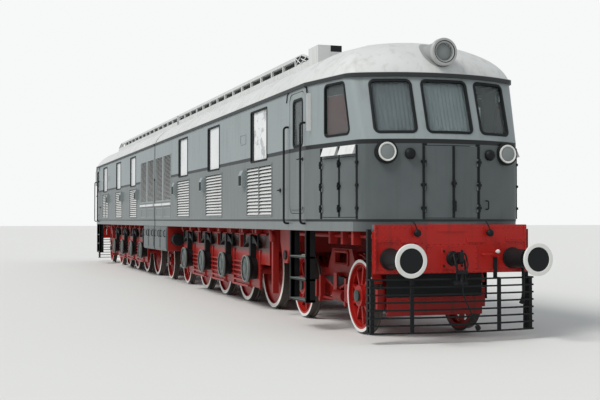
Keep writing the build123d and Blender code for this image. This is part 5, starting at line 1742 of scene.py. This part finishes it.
# %% Axle boxes, brake blocks and wheel guards
TRUCK_AXLES = [AXLES["bogie_wheels_%d" % number][0] for number in (2, 1)]
AXLE_Z = SMALL_WHEEL + RAIL
BOX_RING = [(0, 0.12), (0, 0.20), (0.035, 0.19), (0.045, 0.15), (0.045, 0.12)]
BLOCK_REACH = 0.56
GUARD_RADIUS, GUARD_THICK = 0.565, 0.008
for side in (-1, 1):
    for x in TRUCK_AXLES:
        add_turned(red, (x, side * TRUCK_PLATE, AXLE_Z), (0, side, 0), BOX_RING, 24, close=True)
        for middle in around(x, BLOCK_REACH):
            block = [(middle - 0.03, 0.36), (middle + 0.03, 0.36), (middle + 0.045, 0.62),
                     (middle - 0.045, 0.62)]
            add_loops(red, [[(u, y, v + RAIL) for u, v in block]
                            for y in side_span(side, 0.70, 0.80)], cap=True)
    add_tube(red, [(x, side * 0.72, 0.36 + RAIL) for x in (10.32, 12.68)], 0.018, 8)
    add_tube(black, [(x, side * 0.72, 0.43 + RAIL) for x in (11.56, 11.93)], 0.03, 10)
    guard = []
    for k in range(9):
        t = math.radians(20 + 70 * k / 8)
        near, far = [(TRUCK_AXLES[1] + r * math.cos(t), AXLE_Z + r * math.sin(t))
                     for r in (GUARD_RADIUS, GUARD_RADIUS + GUARD_THICK)]
        guard.append([(near[0], side * 0.70, near[1]), (near[0], side * 0.83, near[1]),
                      (far[0], side * 0.83, far[1]), (far[0], side * 0.70, far[1])])
    add_loops(red, guard, cap=True)
    add_box(red, (12.72, 12.76), side_span(side, 0.60, 0.75), heights(1.055, 1.085))
finish_piece("bogie_trim", red, "truck_red", "bogie_truck")
finish_piece("bogie_springs_and_shade_plate", black, "black", "bogie_truck")

# %% [markdown]
# ## Hubs and bosses of the wheels
# A small wheel has a round hub plate with six bolts, and a driving wheel ten low bosses in a
# ring. They turn with the wheel, so each set rides on its own wheelset's body.

# %% Wheel hubs and bosses
HUB_PROFILE = [(0, 0), (0, 0.085), (0.006, 0.088), (0.012, 0.080), (0.020, 0.050),
               (0.022, 0.030), (0.022, 0)]
HUB_BOLT = [(0, 0), (0, 0.009), (0.009, 0.009), (0.011, 0.005), (0.011, 0)]
BOSS = [(0, 0), (0, 0.075), (0.012, 0.07), (0.016, 0.05), (0.016, 0)]
for name, (axle, radius) in AXLES.items():
    hub = bmesh.new()
    high, small = radius + RAIL, radius == SMALL_WHEEL
    for side in (-1, 1):
        out = (0, side, 0)
        if small:
            add_turned(hub, (axle, side * 0.868, high), out, HUB_PROFILE, 24)
            add_ring(hub, (axle, side * 0.873, high), out, 0.066, 6, HUB_BOLT)
        else:
            add_ring(hub, (axle, side * 0.776, high), out, 0.36, 10, BOSS, 16)
    finish_piece(name + "_trim", hub, "drum" if small else "truck_red", name)

# %% [markdown]
# ## Rivets
# Hundreds of rivets share one low, round head. A second node tree puts a head on every point of
# a seed mesh and turns it along a direction that the point carries, so one list of rows rivets
# the beam, the frames and the side sheets alike.

# %% The rivet tree
rivet_tree, group, output = new_tree("rivet_field", (("Radius", "Float"),
                                                     ("Material", "Material")))
head = rivet_tree.nodes.new("GeometryNodeMeshUVSphere")
head.inputs["Segments"].default_value = 6
head.inputs["Rings"].default_value = 4
facing = rivet_tree.nodes.new("GeometryNodeInputNamedAttribute")
facing.data_type = "FLOAT_VECTOR"
facing.inputs["Name"].default_value = "facing"
align = rivet_tree.nodes.new("FunctionNodeAlignRotationToVector")
align.axis = "Z"
spread = rivet_tree.nodes.new("GeometryNodeInstanceOnPoints")
spread.inputs["Scale"].default_value = (1.0, 1.0, 0.6)
connect(rivet_tree, (
    (group.outputs["Radius"], head.inputs["Radius"]),
    (group.outputs["Geometry"], spread.inputs["Points"]),
    (head.outputs["Mesh"], spread.inputs["Instance"]),
    (facing.outputs["Attribute"], align.inputs["Vector"]),
    (align.outputs[0], spread.inputs["Rotation"]),
))
close_tree(rivet_tree, spread.outputs[0], group, output)


def row(start, end, pitch, facing):
    """Points with a direction, at an even pitch from start to end."""
    start, end = Vector(start), Vector(end)
    count = max(1, round((end - start).length / pitch))
    return [(start.lerp(end, k / count), facing) for k in range(count + 1)]


def add_rivets(name, points, radius, paint, body):
    """Rivet heads on a list of points, as one piece."""
    seed = bpy.data.meshes.new("rivet_seed")
    seed.from_pydata([tuple(point) for point, _ in points], [], [])
    layer = seed.attributes.new("facing", "FLOAT_VECTOR", "POINT")
    for k, (_, direction) in enumerate(points):
        layer.data[k].vector = direction
    made = grow(rivet_tree, seed, {"Radius": radius, "Material": paints[paint]})
    bm = bmesh.new()
    bm.from_mesh(made)
    finish_piece(name, bm, paint, body, angle=80, closed=False)
    print(name, len(points), "rivets")


# %% [markdown]
# ## Rows of rivets on the beam
# A row is a start, an end and a pitch, as a riveter sets it out. On the beam all heads face
# ahead, and each row stands on the face or on the plate that it holds.

# %% Rivets of the beam
FACE = 0.0005


def beam_row(first, last, out, pitch):
    """A row on the beam, from one (y, z) to another, at a distance out from its face."""
    return row(beam_face(*first, out), beam_face(*last, out), pitch, ahead)


beam = beam_row((-1.04, 1.455), (1.04, 1.455), FACE, 0.075)
beam += beam_row((-1.04, 0.881), (1.04, 0.881), 0.012, 0.075)
for y in (-1.075, 1.075):
    beam += beam_row((y, 0.94), (y, 1.46), 0.012, 0.07)
for y in (-0.34, 0.34):
    beam += beam_row((y, 0.92), (y, 1.20), 0.010, 0.07)
    beam += beam_row((y * 2.0, 0.92), (y * 2.0, 1.20), FACE, 0.07)
beam += beam_row((-0.30, 1.205), (0.30, 1.205), 0.010, 0.075)
beam += beam_row((-1.02, 1.240), (1.02, 1.240), FACE, 0.085)
for y in (-0.93, 0.93):
    beam += beam_row((y - 0.13, 1.30), (y + 0.13, 1.30), 0.010, 0.065)
add_rivets("beam_rivets", beam, 0.0125, "red", "half")

# %% [markdown]
# ## Rows along the frames, walls and truck
# The frames have two long rows and an upright row at each side of a cover. The wall's heads
# are small and follow the joints of its sheets, so they show as fine dotted lines.

# %% Rivets of the frames, walls and leading truck
FRAME_FACE, WALL_FACE, PLATE_FACE = PLATE_Y + 0.0005, BODY_HALF + 0.0003, TRUCK_PLATE + 0.0005
COVER_ROW = 0.37345
WALL_JOINTS = (2.30, 4.75, 7.75, 11.10)
TRUCK_ROWS = ((0.77, 9.98, 10.85), (0.77, 12.15, 13.02), (0.41, 9.98, 13.02), (1.09, 11.12, 11.88))
frames, walls, truck = [], [], []
for side in (-1, 1):
    out, y = (0, side, 0), side * FRAME_FACE
    for z in heights(1.36, 1.08):
        frames += row((2.25, y, z), (9.35, y, z), 0.10, out)
    for x in DRIVERS:
        for u in around(x, COVER_ROW):
            frames += row((u, y, 0.40 + RAIL), (u, y, 1.02 + RAIL), 0.075, out)
    y = side * WALL_FACE
    for x in WALL_JOINTS:
        walls += row((x, y, 1.62 + RAIL), (x, y, 3.40 + RAIL), 0.085, out)
    y = side * PLATE_FACE
    for low, start, end in TRUCK_ROWS:
        truck += row((start, y, low + RAIL), (end, y, low + RAIL), 0.08, out)
edge = (APRON + 0.0255, 0.66, 0.485 + RAIL)
truck += row(on_side(edge, -1), edge, 0.09, ahead)
add_rivets("frame_rivets", frames, 0.013, "truck_red", "half")
add_rivets("wall_rivets", walls, 0.007, "light_grey", "half")
add_rivets("bogie_rivets", truck, 0.012, "truck_red", "bogie_truck")

# %% [markdown]
# ## Close the lesson
# The number of pieces made and their faces on the leading half are printed.

# %% Sizes and finish
print("pieces made", len(made_pieces), "faces on the leading half", sum(made_pieces.values()))
